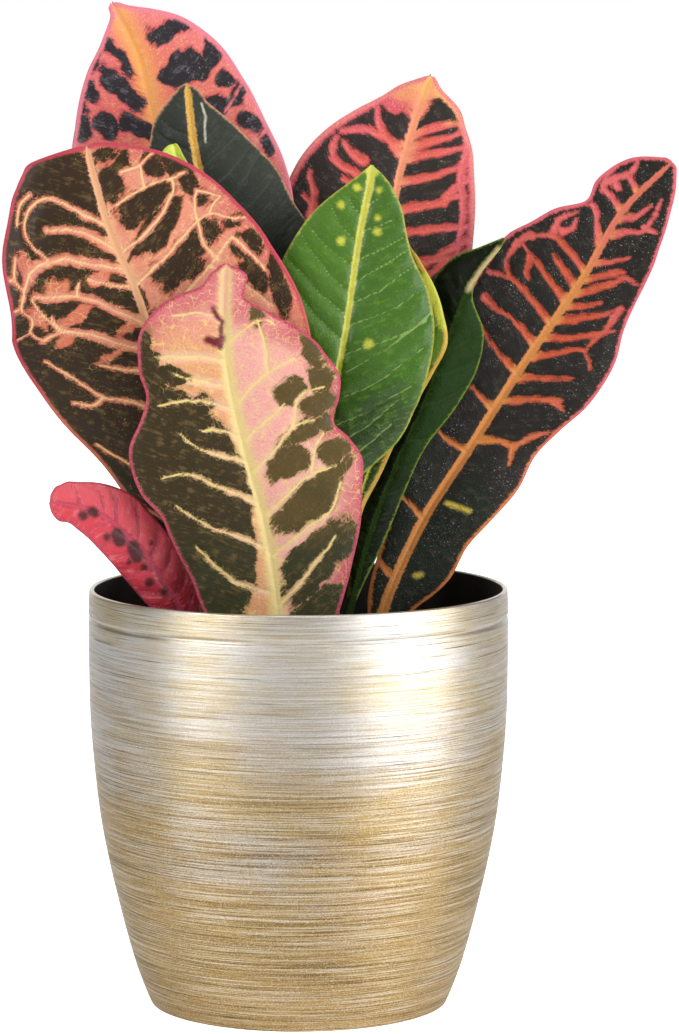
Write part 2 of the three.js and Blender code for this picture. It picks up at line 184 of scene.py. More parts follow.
def turned(profile, sides, centre=(0, 0)):
    # A closed body from a profile that starts and ends near the axis, with a face to close each end
    angles = np.linspace(0, 2 * np.pi, sides, endpoint=False)
    profile = np.asarray(profile, float)
    rings = np.stack([
        centre[0] + profile[:, :1] * np.cos(angles),
        centre[1] + profile[:, :1] * np.sin(angles),
        np.repeat(profile[:, 1:], sides, axis=1),
    ], axis=2)
    faces = []
    for low in range(0, (len(profile) - 1) * sides, sides):
        high = low + sides
        for j in range(sides):
            k = (j + 1) % sides
            faces.append((low + j, low + k, high + k, high + j))
    last = (len(profile) - 1) * sides
    faces.append(tuple(reversed(range(sides))))
    faces.append(tuple(range(last, last + sides)))
    return rings.reshape(-1, 3), faces


def throughPoints(points, perSpan=8):
    # A smooth open line through the points, any number of dimensions, evenly eased between them
    points = [np.asarray(point, float) for point in points]
    points = [2 * points[0] - points[1], *points, 2 * points[-1] - points[-2]]
    line = []
    for a, b, c, d in zip(points, points[1:], points[2:], points[3:]):
        steps = [max(np.linalg.norm(q - p), 1e-6) ** 0.5 for p, q in ((a, b), (b, c), (c, d))]
        knots = np.cumsum([0.0] + steps)
        for t in np.linspace(knots[1], knots[2], perSpan, endpoint=False):
            ab = ((knots[1] - t) * a + t * b) / knots[1]
            bc = ((knots[2] - t) * b + (t - knots[1]) * c) / (knots[2] - knots[1])
            cd = ((knots[3] - t) * c + (t - knots[2]) * d) / (knots[3] - knots[2])
            abc = ((knots[2] - t) * ab + t * bc) / knots[2]
            bcd = ((knots[3] - t) * bc + (t - knots[1]) * cd) / (knots[3] - knots[1])
            line.append(((knots[2] - t) * abc + (t - knots[1]) * bcd) / (knots[2] - knots[1]))
    line.append(points[-2])
    return np.array(line)


# Leaf shader: a pattern of light veins and dark islands, laid out by values stored on the mesh in mm

# The pale speck colour and its share paint glints, painted highlights on the dark islands, and the mottle
# colour is in part a painted sheen on them
patternInputs = {
    "Field": "cf6a5c", "Field Right": "cf6a5c", "Vein": "d9887a", "Line": "e8c9a0", "Rib": "d99a5a",
    "Margin": "c8414f", "Tip": "d9887a", "Half": "7a4526", "Dark": "1c1d1c", "Dark Right": "1c1d1c",
    "Mottle And Sheen": "2c3028", "Foot": "1c1d1c", "Spot": "c9b23c", "Painted Glint": "a9a49c", "Under": "5a3a34",
    "Foot Light": "c98a4a", "Foot Share": 0.0, "Margin Width": 1.2, "Line Width": 0.35,
    "Line Strength": 0.5, "Glint Share": 0.4, "Roughness": 0.45, "Blush": 0.5, "Rib Soft": 2.0,
    "Tip Start": 0.85, "Tip Share": 0.0, "Grain": 0.4, "Web": 0.0,
}
# Scale for each mm, detail and roughness of the noises
leafNoise = {
    "broad": (0.09, 2.0, 0.55), "wobble": (0.42, 3.0, 0.55), "fine": (1.7, 3.0, 0.6),
    "crumble": (3.2, 2.0, 0.6), "glint": (1.7, 2.0, 0.75), "contour": (0.34, 1.0, 0.4),
}
streakScale = (1.1, 0.2, 1)
leafSurface = {"bump": 0.2, "coatRoughness": 0.22}


def patternValues(tree, given):
    # Everything that the pattern is drawn from, by name: stored values, noises about 0, and shares
    on = SimpleNamespace()
    for name in ("dark", "rib", "vein", "edge", "spot", "top", "along"):
        setattr(on, name, layerOf(tree, name))
    place = layerOf(tree, "flat", "Vector")
    for name, noise in leafNoise.items():
        setattr(on, name, aboutZero(tree, grain(tree, place, *noise)))
    flow = stretched(tree, layerOf(tree, "flow", "Vector"), streakScale)
    on.streak = aboutZero(tree, grain(tree, flow, 1.0, 3.0, 0.6))
    on.warp = plus(tree, times(tree, on.wobble, 1.5), times(tree, on.fine, 1.3))
    on.warp = plus(tree, on.warp, on.streak, 1.8)
    on.depth = plus(tree, on.dark, on.warp)
    on.onRight = ramp(tree, coordinate(tree, place, 0), -0.5, 0.5)
    tipNear = calc(tree, "SUBTRACT", plus(tree, on.along, on.broad, 0.25), given["Tip Start"])
    on.toTip = times(tree, ramp(tree, tipNear, 0.0, 0.12), given["Tip Share"])
    footNear = ramp(tree, plus(tree, on.along, on.broad, 0.3), 0.62, 0.3)
    on.toFoot = times(tree, footNear, given["Foot Share"])
    return on


def lightGround(tree, given, on):
    # The veins' tint, a blush at the margin, the tip, the rib's glow, a coloured grain and the foot
    tint = blend(tree, on.onRight, given["Field"], given["Field Right"])
    tint = blend(tree, ramp(tree, plus(tree, on.vein, on.warp), 2.2, 0.2), tint, given["Vein"])
    marginNear = ramp(tree, plus(tree, on.edge, on.broad, 10.0), 11.0, 0.8)
    tint = blend(tree, times(tree, marginNear, given["Blush"]), tint, given["Margin"])
    tint = blend(tree, on.toTip, tint, given["Tip"])
    ribNear = ramp(tree, plus(tree, on.rib, on.warp, 1.3), given["Rib Soft"], -0.3)
    tint = blend(tree, times(tree, ribNear, 0.85), tint, given["Rib"])
    grains = {"Rib": (on.fine, 0.0, 0.2), "Margin": (on.fine, -0.04, -0.24),
              "Half": (on.crumble, -0.08, -0.28)}
    for shade, (noise, low, high) in grains.items():
        grained = times(tree, ramp(tree, noise, low, high), given["Grain"])
        tint = blend(tree, grained, tint, given[shade])
    tint = blend(tree, ramp(tree, on.wobble, 0.0, 0.3, 0.0, 0.3), tint, given["Line"])
    return blend(tree, on.toFoot, tint, given["Foot Light"])


def darkGround(tree, given, on):
    # Its own tint at the foot, mottled with a colour that is in part painted sheen, and pale specks in glossy
    # patches that are painted glints
    tint = blend(tree, on.onRight, given["Dark"], given["Dark Right"])
    footNear = ramp(tree, plus(tree, on.along, on.broad, 0.3), 0.42, 0.22)
    tint = blend(tree, footNear, tint, given["Foot"])
    # Mottle colour, in part a painted sheen over the dark islands
    tint = blend(tree, ramp(tree, plus(tree, on.wobble, on.streak), 0.0, 0.3), tint, given["Mottle And Sheen"])
    # Painted highlight: pale glint specks where the glint noise is high in glossy patches
    glossy = ramp(tree, plus(tree, on.broad, on.wobble, 0.8), -0.1, 0.14)
    speck = times(tree, times(tree, ramp(tree, on.glint, 0.11, 0.23), glossy), given["Glint Share"])
    return blend(tree, speck, tint, given["Painted Glint"])


def veinLines(tree, given, on, colour):
    # A fine net over the light ground, and the pale core of each side vein
    net = ramp(tree, calc(tree, "ABSOLUTE", on.contour), 0.022, 0.006)
    net = times(tree, net, ramp(tree, on.depth, 1.2, -0.5))
    colour = blend(tree, times(tree, net, given["Web"]), colour, given["Line"])
    core = ramp(tree, plus(tree, on.vein, on.fine, 0.25), given["Line Width"], 0.12)
    return blend(tree, times(tree, core, given["Line Strength"]), colour, given["Line"])


def marginAndRib(tree, given, on, colour):
    marginTint = blend(tree, ramp(tree, on.fine, -0.2, 0.25, 0.0, 0.5), given["Margin"], given["Tip"])
    marginTint = blend(tree, on.toFoot, marginTint, given["Foot Light"])
    fromMargin = calc(tree, "SUBTRACT", plus(tree, on.edge, on.warp, 0.6), given["Margin Width"])
    colour = blend(tree, ramp(tree, fromMargin, 0.5, -0.4), colour, marginTint)
    ribTint = blend(tree, ramp(tree, on.fine, -0.05, 0.3, 0.0, 0.6), given["Rib"], given["Vein"])
    ribTint = blend(tree, times(tree, on.toTip, 0.8), ribTint, given["Tip"])
    return blend(tree, ramp(tree, plus(tree, on.rib, on.warp, 0.2), 0.25, -0.35), colour, ribTint)


def buildLeafPattern():
    tree, given = newGroup("leafPattern", patternInputs)
    on = patternValues(tree, given)
    light, dark = lightGround(tree, given, on), darkGround(tree, given, on)
    colour = blend(tree, ramp(tree, on.depth, -0.75, 0.1, 0.0, 0.75), light, given["Half"])
    colour = blend(tree, ramp(tree, on.depth, -0.15, 0.25), colour, dark)
    colour = veinLines(tree, given, on, colour)
    colour = marginAndRib(tree, given, on, colour)
    colour = blend(tree, ramp(tree, plus(tree, on.spot, on.warp, 0.6), -0.9, 0.6), colour, given["Spot"])
    colour = blend(tree, ramp(tree, on.along, 0.012, -0.03), colour, given["Rib"])  # the stalk
    below = ramp(tree, on.top, 0.6, 0.4, 0.0, 0.62)
    colour = blend(tree, below, colour, given["Under"])
    roughness = plus(tree, plus(tree, given["Roughness"], on.fine, 0.25), below, 0.35)
    height = plus(tree, times(tree, ramp(tree, on.vein, 0.0, 0.9), 0.5), on.crumble, 0.7)
    height = plus(tree, plus(tree, height, on.wobble, 1.6), on.fine)
    endGroup(tree, colour, roughness, height)
    return tree


def leafMaterial(name, look, coat, specular):
    material, shader = groupMaterial("leaf_" + name, leafPattern, look, leafSurface["bump"])
    shader.inputs["Coat Weight"].default_value = coat
    shader.inputs["Coat Roughness"].default_value = leafSurface["coatRoughness"]
    shader.inputs["Specular IOR Level"].default_value = specular
    return material


leafPattern = buildLeafPattern()

# Colours and amounts of each look, where they differ from the group's own
leafLooks = {
    "yellowPink": {"Field": "dc6264", "Field Right": "e07068", "Vein": "e58a86", "Line": "f5cda0",
                   "Rib": "efa850", "Margin": "dc7486", "Tip": "ee9494", "Half": "a2353c", "Dark": "261f23",
                   "Dark Right": "262024", "Mottle And Sheen": "58565e", "Foot": "2a2224", "Margin Width": 1.3,
                   "Glint Share": 0.95, "Line Strength": 0.0, "Rib Soft": 6.0, "Tip Start": 0.9,
                   "Tip Share": 0.8, "Grain": 0.95, "Under": "6b3a3a", "Painted Glint": "c2c0c0"},
    "coral": {"Field": "c94348", "Field Right": "cb453f", "Vein": "db5c54", "Line": "e07a66",
              "Rib": "ee9a70", "Margin": "d4607c", "Tip": "f0bc62", "Half": "86302c", "Dark": "251b19",
              "Dark Right": "26201a", "Mottle And Sheen": "45372f", "Foot": "251b19", "Margin Width": 1.2,
              "Glint Share": 0.85, "Line Strength": 0.0, "Rib Soft": 3.0, "Tip Start": 0.85, "Tip Share": 0.95,
              "Grain": 0.7, "Under": "6b322c", "Painted Glint": "b8b4ae"},
    "darkSlate": {"Field": "3a423a", "Field Right": "3a423a", "Vein": "434b42", "Line": "7a8474",
                  "Rib": "e0ae50", "Margin": "c98f6a", "Tip": "a87e58", "Half": "3a423a", "Dark": "2e322b",
                  "Dark Right": "333830", "Mottle And Sheen": "3e4840", "Foot": "262c27", "Spot": "c4c2ac",
                  "Margin Width": 0.3, "Glint Share": 0.06, "Line Strength": 0.14, "Blush": 0.0,
                  "Rib Soft": 0.8, "Grain": 0.1, "Under": "46362f"},
    "lime": {"Field": "c2d640", "Field Right": "c2d640", "Vein": "d0e04f", "Line": "dfe876",
             "Rib": "d6e25a", "Margin": "bec03c", "Tip": "ccd94c", "Half": "a9be39", "Dark": "98b02d",
             "Dark Right": "a3ba36", "Mottle And Sheen": "adc03a", "Foot": "849b2a", "Margin Width": 0.4,
             "Glint Share": 0.1, "Blush": 0.2, "Under": "8a983a"},
    "oliveRose": {"Field": "cc6f55", "Field Right": "dc8a70", "Vein": "d98f78", "Line": "f2cd8e",
                  "Rib": "e2ac80", "Margin": "b63a4a", "Tip": "cc5464", "Half": "9c4426", "Dark": "2e1f0c",
                  "Dark Right": "2f1f0c", "Mottle And Sheen": "5a4422", "Foot": "2c2712", "Painted Glint": "c9a45c",
                  "Margin Width": 1.1, "Glint Share": 0.7, "Line Strength": 0.85, "Line Width": 0.45,
                  "Rib Soft": 2.0, "Grain": 0.5, "Under": "5f322d", "Web": 0.4, "Foot Light": "c8864e",
                  "Foot Share": 0.55},
    "peach": {"Field": "da9a70", "Field Right": "e6a29c", "Vein": "e4b69a", "Line": "e6d07e",
              "Rib": "e2cc88", "Margin": "b02c48", "Tip": "dc7f8e", "Half": "8f7340", "Dark": "33270b",
              "Dark Right": "54441e", "Mottle And Sheen": "624e2a", "Foot": "34341a", "Spot": "6b1120",
              "Margin Width": 0.8, "Glint Share": 0.35, "Line Strength": 0.9, "Line Width": 0.45, "Blush": 0.8,
              "Rib Soft": 2.2, "Tip Start": 0.8, "Tip Share": 0.5, "Grain": 0.35, "Under": "7d4a3f",
              "Painted Glint": "b8a05a", "Web": 0.5},
    "green": {"Field": "5b7c20", "Field Right": "5c8424", "Vein": "709838", "Line": "b2ca78",
              "Rib": "cdc94a", "Margin": "b3a83c", "Tip": "8c962c", "Half": "56761e", "Dark": "446c14",
              "Dark Right": "3c6412", "Mottle And Sheen": "527c1c", "Foot": "2a4212", "Spot": "bfc040",
              "Painted Glint": "a4bc70", "Margin Width": 0.3, "Glint Share": 0.35, "Line Strength": 0.42, "Blush": 0.0,
              "Rib Soft": 0.8, "Roughness": 0.3, "Under": "6f8a44"},
    # deepGreen's left half is darker than its right, in part its own colour and in part painted shade on the
    # half folded away from the light
    "deepGreen": {"Field": "22330c", "Field Right": "2f4f12", "Vein": "32530f", "Line": "42641f",
                  "Rib": "20330c", "Margin": "6d8030", "Tip": "7f8040", "Half": "2f480e", "Dark": "0b1203",
                  "Dark Right": "1b350a", "Mottle And Sheen": "1a2d09", "Foot": "0c1203", "Spot": "b7a777",
                  "Painted Glint": "4d6a30", "Margin Width": 0.3, "Glint Share": 0.1, "Line Strength": 0.12,
                  "Blush": 0.0, "Rib Soft": 0.4, "Roughness": 0.4, "Under": "141d0c"},
    "blackRed": {"Field": "a4382a", "Field Right": "a83630", "Vein": "b8462c", "Line": "c4583a",
                 "Rib": "cc8846", "Margin": "c85c6a", "Tip": "d8606c", "Half": "6a2410", "Dark": "120d07",
                 "Dark Right": "150f08", "Mottle And Sheen": "2e2820", "Foot": "0e1a08", "Spot": "c6b044",
                 "Painted Glint": "c4c0b8", "Margin Width": 0.7, "Glint Share": 0.85, "Line Strength": 0.0,
                 "Rib Soft": 1.8, "Tip Start": 0.75, "Tip Share": 0.7, "Grain": 0.75, "Under": "5c2a24",
                 "Foot Light": "c98238", "Foot Share": 0.8},
    # crimson's right half is a lighter pink, a painted sheen
    "crimson": {"Field": "d43c50", "Field Right": "dc5666", "Vein": "d86074", "Line": "dd8a8e",
                "Rib": "c4455a", "Margin": "c03a52", "Tip": "d8707c", "Half": "9a2838", "Dark": "d03c4a",
                "Dark Right": "da505a", "Mottle And Sheen": "dc6674", "Foot": "b8303c", "Spot": "521a1e",
                "Painted Glint": "e0a088", "Margin Width": 0.4, "Glint Share": 0.15, "Line Strength": 0.1, "Blush": 0.2,
                "Under": "7a2a30"},
}
leafLooks["narrowGreen"] = {**leafLooks["green"], "Dark": "3a5712", "Dark Right": "55761a",
                            "Mottle And Sheen": "4c6c1a", "Margin": "c4a43a", "Tip": "b8763a", "Margin Width": 1.1,
                            "Glint Share": 0.1}
# Slot in the record, coat and gloss of each look
leafFinish = {
    "yellowPink": ("leaf_yellow_pink", 0.12, 0.25), "coral": ("leaf_coral", 0.1, 0.25),
    "darkSlate": ("leaf_dark", 0.1, 0.2), "lime": ("leaf_lime", 0.3, 0.35),
    "oliveRose": ("leaf_olive_rose", 0.12, 0.2), "peach": ("leaf_peach", 0.16, 0.22),
    "green": ("leaf_green", 0.3, 0.25), "narrowGreen": ("leaf_green", 0.2, 0.2),
    "deepGreen": ("leaf_deep_green", 0.03, 0.08), "blackRed": ("leaf_black_red", 0.0, 0.25),
    "crimson": ("leaf_crimson", 0.2, 0.35),
}
leafMaterials = {name: leafMaterial(name, look, *leafFinish[name][1:]) for name, look in leafLooks.items()}
print("leaf materials made:", len(leafMaterials))

# Each leaf as in the CAD source: rib points from the stem, the petiole's share, half-widths from the blade's
# base to its tip, the way it faces, and its fold, curl and waves. Marks are (mm across, share along): side
# veins are lines, autoVeins are (from, to, pairs), islands and gaps are (across, along, half-width,
# half-length, turn in degrees), and spots are (points, radius). Cell is the mesh's cell size, and band is the
# light strip along the edge.
leafDefaults = {
    "cell": 0.85, "puff": 0.3, "band": 0.6, "swell": 0, "veinTaper": 0.5, "spotSharp": 1, "autoVeins": None,
    "islands": [(0, 0.5, 60, 90, 0)], "gaps": [], "veins": [], "wideVeins": [], "spots": [],
}
leaves = {
    "leaf_back_left": {
        "petiole": 0.2, "look": "yellowPink", "ribWidth": (0.5, 0.6), "veinWidth": 0.8,
        "cell": 0.65, "band": 0.8,
        "rib": [(-18, 6, 142), (-23, 12, 152), (-26.5, 15.5, 170), (-32.5, 20, 202.5), (-38, 26, 231),
                (-42.5, 31, 255), (-47.5, 34, 273.5), (-54.5, 35, 286.5)],
        "left": [1.5, 13.5, 20.5, 25, 26.5, 25.5, 22, 18, 13.5, 7.5, 2.5, 1.5, 0.5],
        "right": [1.5, 21, 32, 35.5, 35, 31.5, 28, 24, 17.5, 10, 4.5, 2, 0.5],
        "face": [(0, -1, 0.3), (0, -1, 0.1)], "fold": (8, 8), "curl": (-12, -12), "wave": (1, 2.5, 0.4),
        "autoVeins": (0.06, 0.58, 7),
        "islands": [(0, 0.28, 40, 42, 0), (-5, 0.885, 1.9, 8.5, 18), (-10, 0.925, 2, 3.5, 10),
                    (-12.5, 0.89, 2.5, 4, -20), (-6.5, 0.80, 3.2, 9.5, 28), (-15, 0.81, 2.1, 4.5, 15),
                    (-19, 0.77, 1.6, 3, -10), (-13.5, 0.71, 4, 5.5, 10), (-5.5, 0.70, 3, 5.5, 35),
                    (-21.5, 0.72, 3, 4.5, -10), (10.5, 0.892, 5.6, 2.8, -12), (16, 0.875, 2, 1.6, 0),
                    (9, 0.80, 5.5, 5, 0), (15, 0.805, 5, 4.4, 0), (21, 0.825, 2.4, 4.2, -25),
                    (23, 0.765, 2, 1.9, 0), (19.5, 0.715, 4.2, 3.2, -15), (26, 0.725, 2, 3.6, 10),
                    (27.5, 0.655, 3.2, 3, 0), (30.5, 0.60, 2.4, 4.6, 15)],
    },
    "leaf_back_right": {
        "petiole": 0.207, "look": "coral", "ribWidth": (0.9, 1.4), "veinWidth": 1.75,
        "cell": 0.65, "veinTaper": 0.45, "band": 2.2,
        "rib": [(-3, 28, 157), (5, 26, 166), (15.5, 24, 173), (21, 26, 198), (26.5, 29, 222.5),
                (30, 32, 240), (35.5, 34, 257.5), (38.5, 34, 265.5)],
        "left": [1.5, 15.5, 24.5, 29.5, 32, 30, 24.5, 18, 12, 8, 4, 1.5, 0.5],
        "right": [1.5, 17, 23.5, 25.5, 24.5, 23, 21, 18.5, 14.5, 11, 4.5, 2, 1],
        "face": [(0.05, -1, 0.3), (0.1, -1, 0.1)], "fold": (8, 10), "curl": (-12, -14), "wave": (1, 2.5, 2),
        "autoVeins": (0.05, 0.4, 5),
        "islands": [(-16, 0.47, 18, 46, -3), (-8, 0.80, 8, 9, 0), (9, 0.5, 15, 44, 0),
                    (7, 0.84, 6, 4.5, 0)],
        "gaps": [(-8, 0.9, 5, 3, 0), (19.5, 0.8, 2, 6, 8)],
        "veins": [[(-11, 0.70), (-15, 0.715), (-18, 0.735)], [(-2, 0.59), (-9, 0.62), (-16, 0.64)],
                  [(1, 0.77), (7, 0.815), (13, 0.86)], [(14, 0.63), (18, 0.70), (20, 0.72)],
                  [(-1, 0.745), (-9, 0.80), (-12, 0.86)], [(-2, 0.765), (-12, 0.785), (-20, 0.765)],
                  [(-4, 0.64), (-12, 0.66), (-20, 0.69), (-21, 0.74)],
                  [(-23, 0.50), (-23.5, 0.58), (-26, 0.64)], [(0, 0.80), (6, 0.855), (13, 0.90)],
                  [(0, 0.735), (8, 0.775), (16, 0.83)], [(0, 0.665), (8, 0.695), (17, 0.76)],
                  [(2, 0.575), (10, 0.61), (19, 0.665)], [(3, 0.51), (12, 0.54), (22, 0.57)],
                  [(8, 0.43), (14, 0.455), (21, 0.48)], [(17, 0.86), (17.5, 0.72), (20, 0.62), (21, 0.5)]],
    },
    "leaf_centre_dark": {
        "petiole": 0.25, "look": "darkSlate", "ribWidth": (1.5, 0.9), "veinWidth": 0.0,
        "rib": [(-18, 6, 150), (-17.5, 10, 158), (-18, 11.5, 170), (-19, 11, 182), (-23, 12, 207.5),
                (-27, 13, 231.5), (-30, 14, 246.5), (-32, 15, 263.5)],
        "left": [1.5, 11, 16, 18.5, 19, 17.5, 15, 12.5, 10.5, 7, 4, 2, 0.5],
        "right": [1.5, 18.5, 26.5, 29, 25, 22, 17.5, 13.5, 9, 5, 3.5, 1, 0.5],
        "face": [(0, -1, 0.2), (0, -1, 0.1)], "fold": (6, 8), "curl": (-8, -14), "wave": (0.5, 2, 1),
        "autoVeins": (0.06, 0.9, 11), "cell": 0.6, "spotSharp": 2.4,
        "spots": [([(3.6, 0.93), (4.4, 0.885), (3.8, 0.85), (3.4, 0.80)], 0.5)],
    },
    "leaf_young": {
        "petiole": 0.205, "look": "lime", "ribWidth": (0.6, 0.5), "veinWidth": 0.3,
        "rib": [(-18, 6, 158), (-19, 5, 166), (-20.5, 4, 176), (-25, 4, 202), (-31, 5, 230.5),
                (-35.5, 6, 246.5)],
        "left": [1.5, 4, 6.5, 8.5, 10, 10.5, 10.5, 9.5, 8.5, 7, 5, 3, 1.5],
        "right": [1.5, 4, 5, 6, 6, 5.5, 4.5, 4, 3, 2, 1.5, 1, 0.5],
        "face": [(0.1, -1, 0.2), (0.1, -1, 0.1)], "fold": (25, 25), "curl": (0, 0), "wave": (0, 1, 0),
        "autoVeins": (0.06, 0.9, 8), "islands": [(0, 0.3, 8, 20, 0)],
    },
    "leaf_left": {
        "petiole": 0.149, "look": "oliveRose", "ribWidth": (1.2, 1.0), "veinWidth": 1.0,
        "cell": 0.6, "veinTaper": 0.4, "swell": 0.4,
        "rib": [(-18, 6, 102), (-24, 1, 109), (-29.5, -3, 119.5), (-33, -6, 145.5), (-37, -7, 170),
                (-41, -7, 190), (-45.5, -6, 204.5), (-53, -4, 221.5), (-58.5, -1, 240), (-60, 0, 246)],
        "left": [1.5, 12, 21, 32, 37.5, 38.5, 35, 32, 27.5, 24, 20, 16.5, 6],
        "right": [1.5, 22.5, 35.5, 43, 44, 40.5, 36.5, 34, 29, 22, 14, 7.5, 3],
        "face": [(-0.1, -1, 0.15), (-0.05, -1, 0.2)], "fold": (10, 6), "curl": (-25, -14),
        "wave": (1.2, 3, 0.8),
        "autoVeins": (0.06, 0.34, 3),
        "islands": [(-20, 0.42, 24, 62, 0), (-15, 0.85, 14, 22, -35), (-8, 0.955, 7.5, 5, 0),
                    (14, 0.32, 34, 36, 0), (5, 0.90, 3.2, 5.2, -10), (9.5, 0.945, 2.6, 2, 40),
                    (16.5, 0.92, 2.8, 3, 20), (23, 0.905, 2.6, 3.6, 40), (11.5, 0.843, 8.6, 3.8, 25),
                    (12.5, 0.775, 10, 3.6, 33), (28, 0.80, 2.4, 4.2, -8), (25, 0.86, 2.4, 5, 25),
                    (17, 0.70, 11, 3.2, 16), (15, 0.66, 6.5, 2, 10), (34, 0.67, 3.2, 2.2, 0),
                    (33.5, 0.62, 3.2, 3.6, 0), (39.5, 0.60, 2.3, 8, -8), (5, 0.97, 3, 2, 0),
                    (33, 0.72, 3, 1.6, 0)],
        "gaps": [(-8, 0.725, 4.5, 2.6, 25), (-21, 0.745, 4, 2.4, 0), (-19, 0.665, 6, 3, 15),
                 (-24, 0.605, 4, 2, 0), (-13, 0.545, 4, 1.2, 20), (-25, 0.80, 2.4, 4, 0),
                 (-29, 0.69, 2, 5, 0), (-6, 0.60, 4, 1.6, 30)],
        "wideVeins": [[(-1, 0.77), (-7, 0.82), (-12, 0.84), (-17, 0.85)],
                      [(-1, 0.72), (-8, 0.76), (-16, 0.79), (-25, 0.79), (-29, 0.765)],
                      [(-1, 0.60), (-8, 0.65), (-16, 0.71), (-27, 0.75)],
                      [(-2, 0.54), (-11, 0.575), (-17, 0.61), (-24, 0.635), (-30, 0.63)]],
        "veins": [[(-1, 0.82), (-8, 0.875), (-15, 0.915), (-20, 0.90), (-23, 0.87), (-22, 0.83),
                   (-19, 0.80)], [(-16, 0.71), (-14, 0.735)], [(-1, 0.68), (-6, 0.70), (-11, 0.735)],
                  [(-24, 0.635), (-26.5, 0.69), (-28, 0.745)], [(-17, 0.61), (-24, 0.65), (-25, 0.69)],
                  [(-4, 0.41), (-11, 0.44), (-16.5, 0.455), (-22, 0.49), (-27.5, 0.54), (-31, 0.575)],
                  [(-16.5, 0.455), (-20, 0.44), (-26, 0.45)], [(-5, 0.50), (-11, 0.512), (-16, 0.53)],
                  [(1, 0.68), (14, 0.715), (24, 0.745), (28, 0.75), (34, 0.72)],
                  [(24, 0.745), (25, 0.79), (27, 0.835)],
                  [(1, 0.755), (8, 0.77), (15, 0.80), (20, 0.85), (20.5, 0.88), (14, 0.88), (4, 0.855)],
                  [(13, 0.88), (13.5, 0.93)], [(1, 0.60), (10, 0.62), (22, 0.66), (31, 0.69)],
                  [(27, 0.835), (30, 0.82), (33, 0.79)], [(28, 0.75), (30.5, 0.775), (33, 0.79)],
                  [(24, 0.745), (23, 0.70), (25.5, 0.665)], [(31, 0.69), (35, 0.65), (37, 0.62)],
                  [(22, 0.66), (27, 0.64), (31, 0.60), (36, 0.56)], [(8, 0.925), (13.5, 0.93), (18, 0.945)],
                  [(20, 0.88), (25, 0.89)], [(34, 0.72), (37, 0.71)],
                  [(-28, 0.82), (-30.5, 0.79), (-29, 0.765), (-32, 0.735), (-30.5, 0.70), (-33, 0.665),
                   (-30, 0.63)], [(-30.5, 0.79), (-34, 0.80)], [(-32, 0.735), (-36, 0.74)],
                  [(-33, 0.665), (-37, 0.66)], [(-19, 0.93), (-23, 0.91), (-25, 0.875)]],
    },
    "leaf_front": {
        "petiole": 0.075, "look": "peach", "ribWidth": (1.4, 0.85), "veinWidth": 1.05,
        "cell": 0.6, "veinTaper": 0.8, "swell": 0.7,
        "rib": [(-4.5, -30, 94), (-4.5, -26.5, 97), (-4, -24.5, 102), (-5.5, -23, 116), (-9, -21, 139.5),
                (-15, -19, 162), (-19.5, -17, 183), (-20.5, -16, 198.5), (-20, -15, 213.5)],
        "left": [6, 16.5, 21, 23, 25.5, 27, 28, 31.5, 32.5, 31.5, 27, 24, 25, 25, 24.5, 22.5, 19, 14, 7.5,
                 5.5, 4.5, 3, 2, 1, 0.5],
        "right": [6, 15, 19.5, 23, 26.5, 29, 31.5, 29.5, 26.5, 29.5, 31, 30, 28, 26, 22, 16.5, 11, 5.5, 5.5,
                  6, 6, 4.5, 2.5, 1, 0.5],
        "face": [(0, -1, 0.15), (0.1, -1, 0.25)], "fold": (10, 12), "curl": (-20, -24), "wave": (0.8, 3, 0),
        "islands": [(-22.5, 0.77, 3.6, 8, 12), (-16, 0.75, 4, 2, -20), (-20, 0.40, 17.5, 36, 0),
                    (-15, 0.65, 8.5, 4.5, 15), (9, 0.87, 1.6, 2, 0), (24.5, 0.765, 2.6, 5.5, 15),
                    (16, 0.655, 3.6, 3, 0), (25.5, 0.675, 3, 3.6, 20), (23.5, 0.61, 4.2, 2.5, 20),
                    (17, 0.545, 5.5, 2.2, 20), (24.5, 0.555, 2.4, 2.4, 0), (11, 0.475, 5.8, 3.4, 22),
                    (24, 0.475, 3.6, 2.8, 0), (15.5, 0.385, 12, 3.6, 26), (13, 0.245, 13.5, 5.6, 40),
                    (12, 0.13, 9, 4, 20)],
        "veins": [[(-1, 0.765), (-10, 0.78), (-20, 0.785)], [(-1, 0.70), (-8, 0.72), (-15, 0.745)],
                  [(-1, 0.64), (-10, 0.68), (-21, 0.685)], [(-1, 0.57), (-6, 0.595), (-11, 0.61)],
                  [(-1, 0.51), (-8, 0.54), (-13, 0.57), (-17, 0.61)],
                  [(-1, 0.41), (-9, 0.46), (-17, 0.515), (-24, 0.525)],
                  [(-2, 0.30), (-11, 0.35), (-17, 0.39), (-23, 0.45)],
                  [(-2, 0.18), (-11, 0.22), (-16, 0.27), (-20, 0.33)],
                  [(1, 0.65), (8, 0.70), (12, 0.72), (19, 0.745)], [(1, 0.56), (9, 0.60), (14, 0.63)],
                  [(1, 0.48), (9, 0.52), (15, 0.565), (21, 0.57)], [(15, 0.565), (19, 0.64), (26, 0.65)],
                  [(1, 0.37), (10, 0.41), (16, 0.435), (24, 0.44)], [(16, 0.435), (20, 0.50), (23, 0.53)],
                  [(1, 0.27), (12, 0.325), (19, 0.35), (24, 0.40)],
                  [(1, 0.15), (9, 0.21), (15, 0.255), (19, 0.29)], [(0, 0.80), (10, 0.86), (14, 0.85)],
                  [(11, 0.72), (11, 0.80), (9, 0.86)], [(0, 0.87), (-8, 0.88), (-15, 0.87)]],
        "spots": [([(-3.4, 0.89), (-2.2, 0.87), (-0.8, 0.858), (-1.3, 0.83), (-0.8, 0.81)], 0.55),
                  ([(-1.2, 0.818), (-3, 0.808), (-5.2, 0.815)], 0.95), ([(-1.6, 0.80)], 0.9)],
    },
    "leaf_centre_green": {
        "petiole": 0.165, "look": "green", "ribWidth": (0.8, 1.3), "veinWidth": 0.0,
        "puff": 0.6,
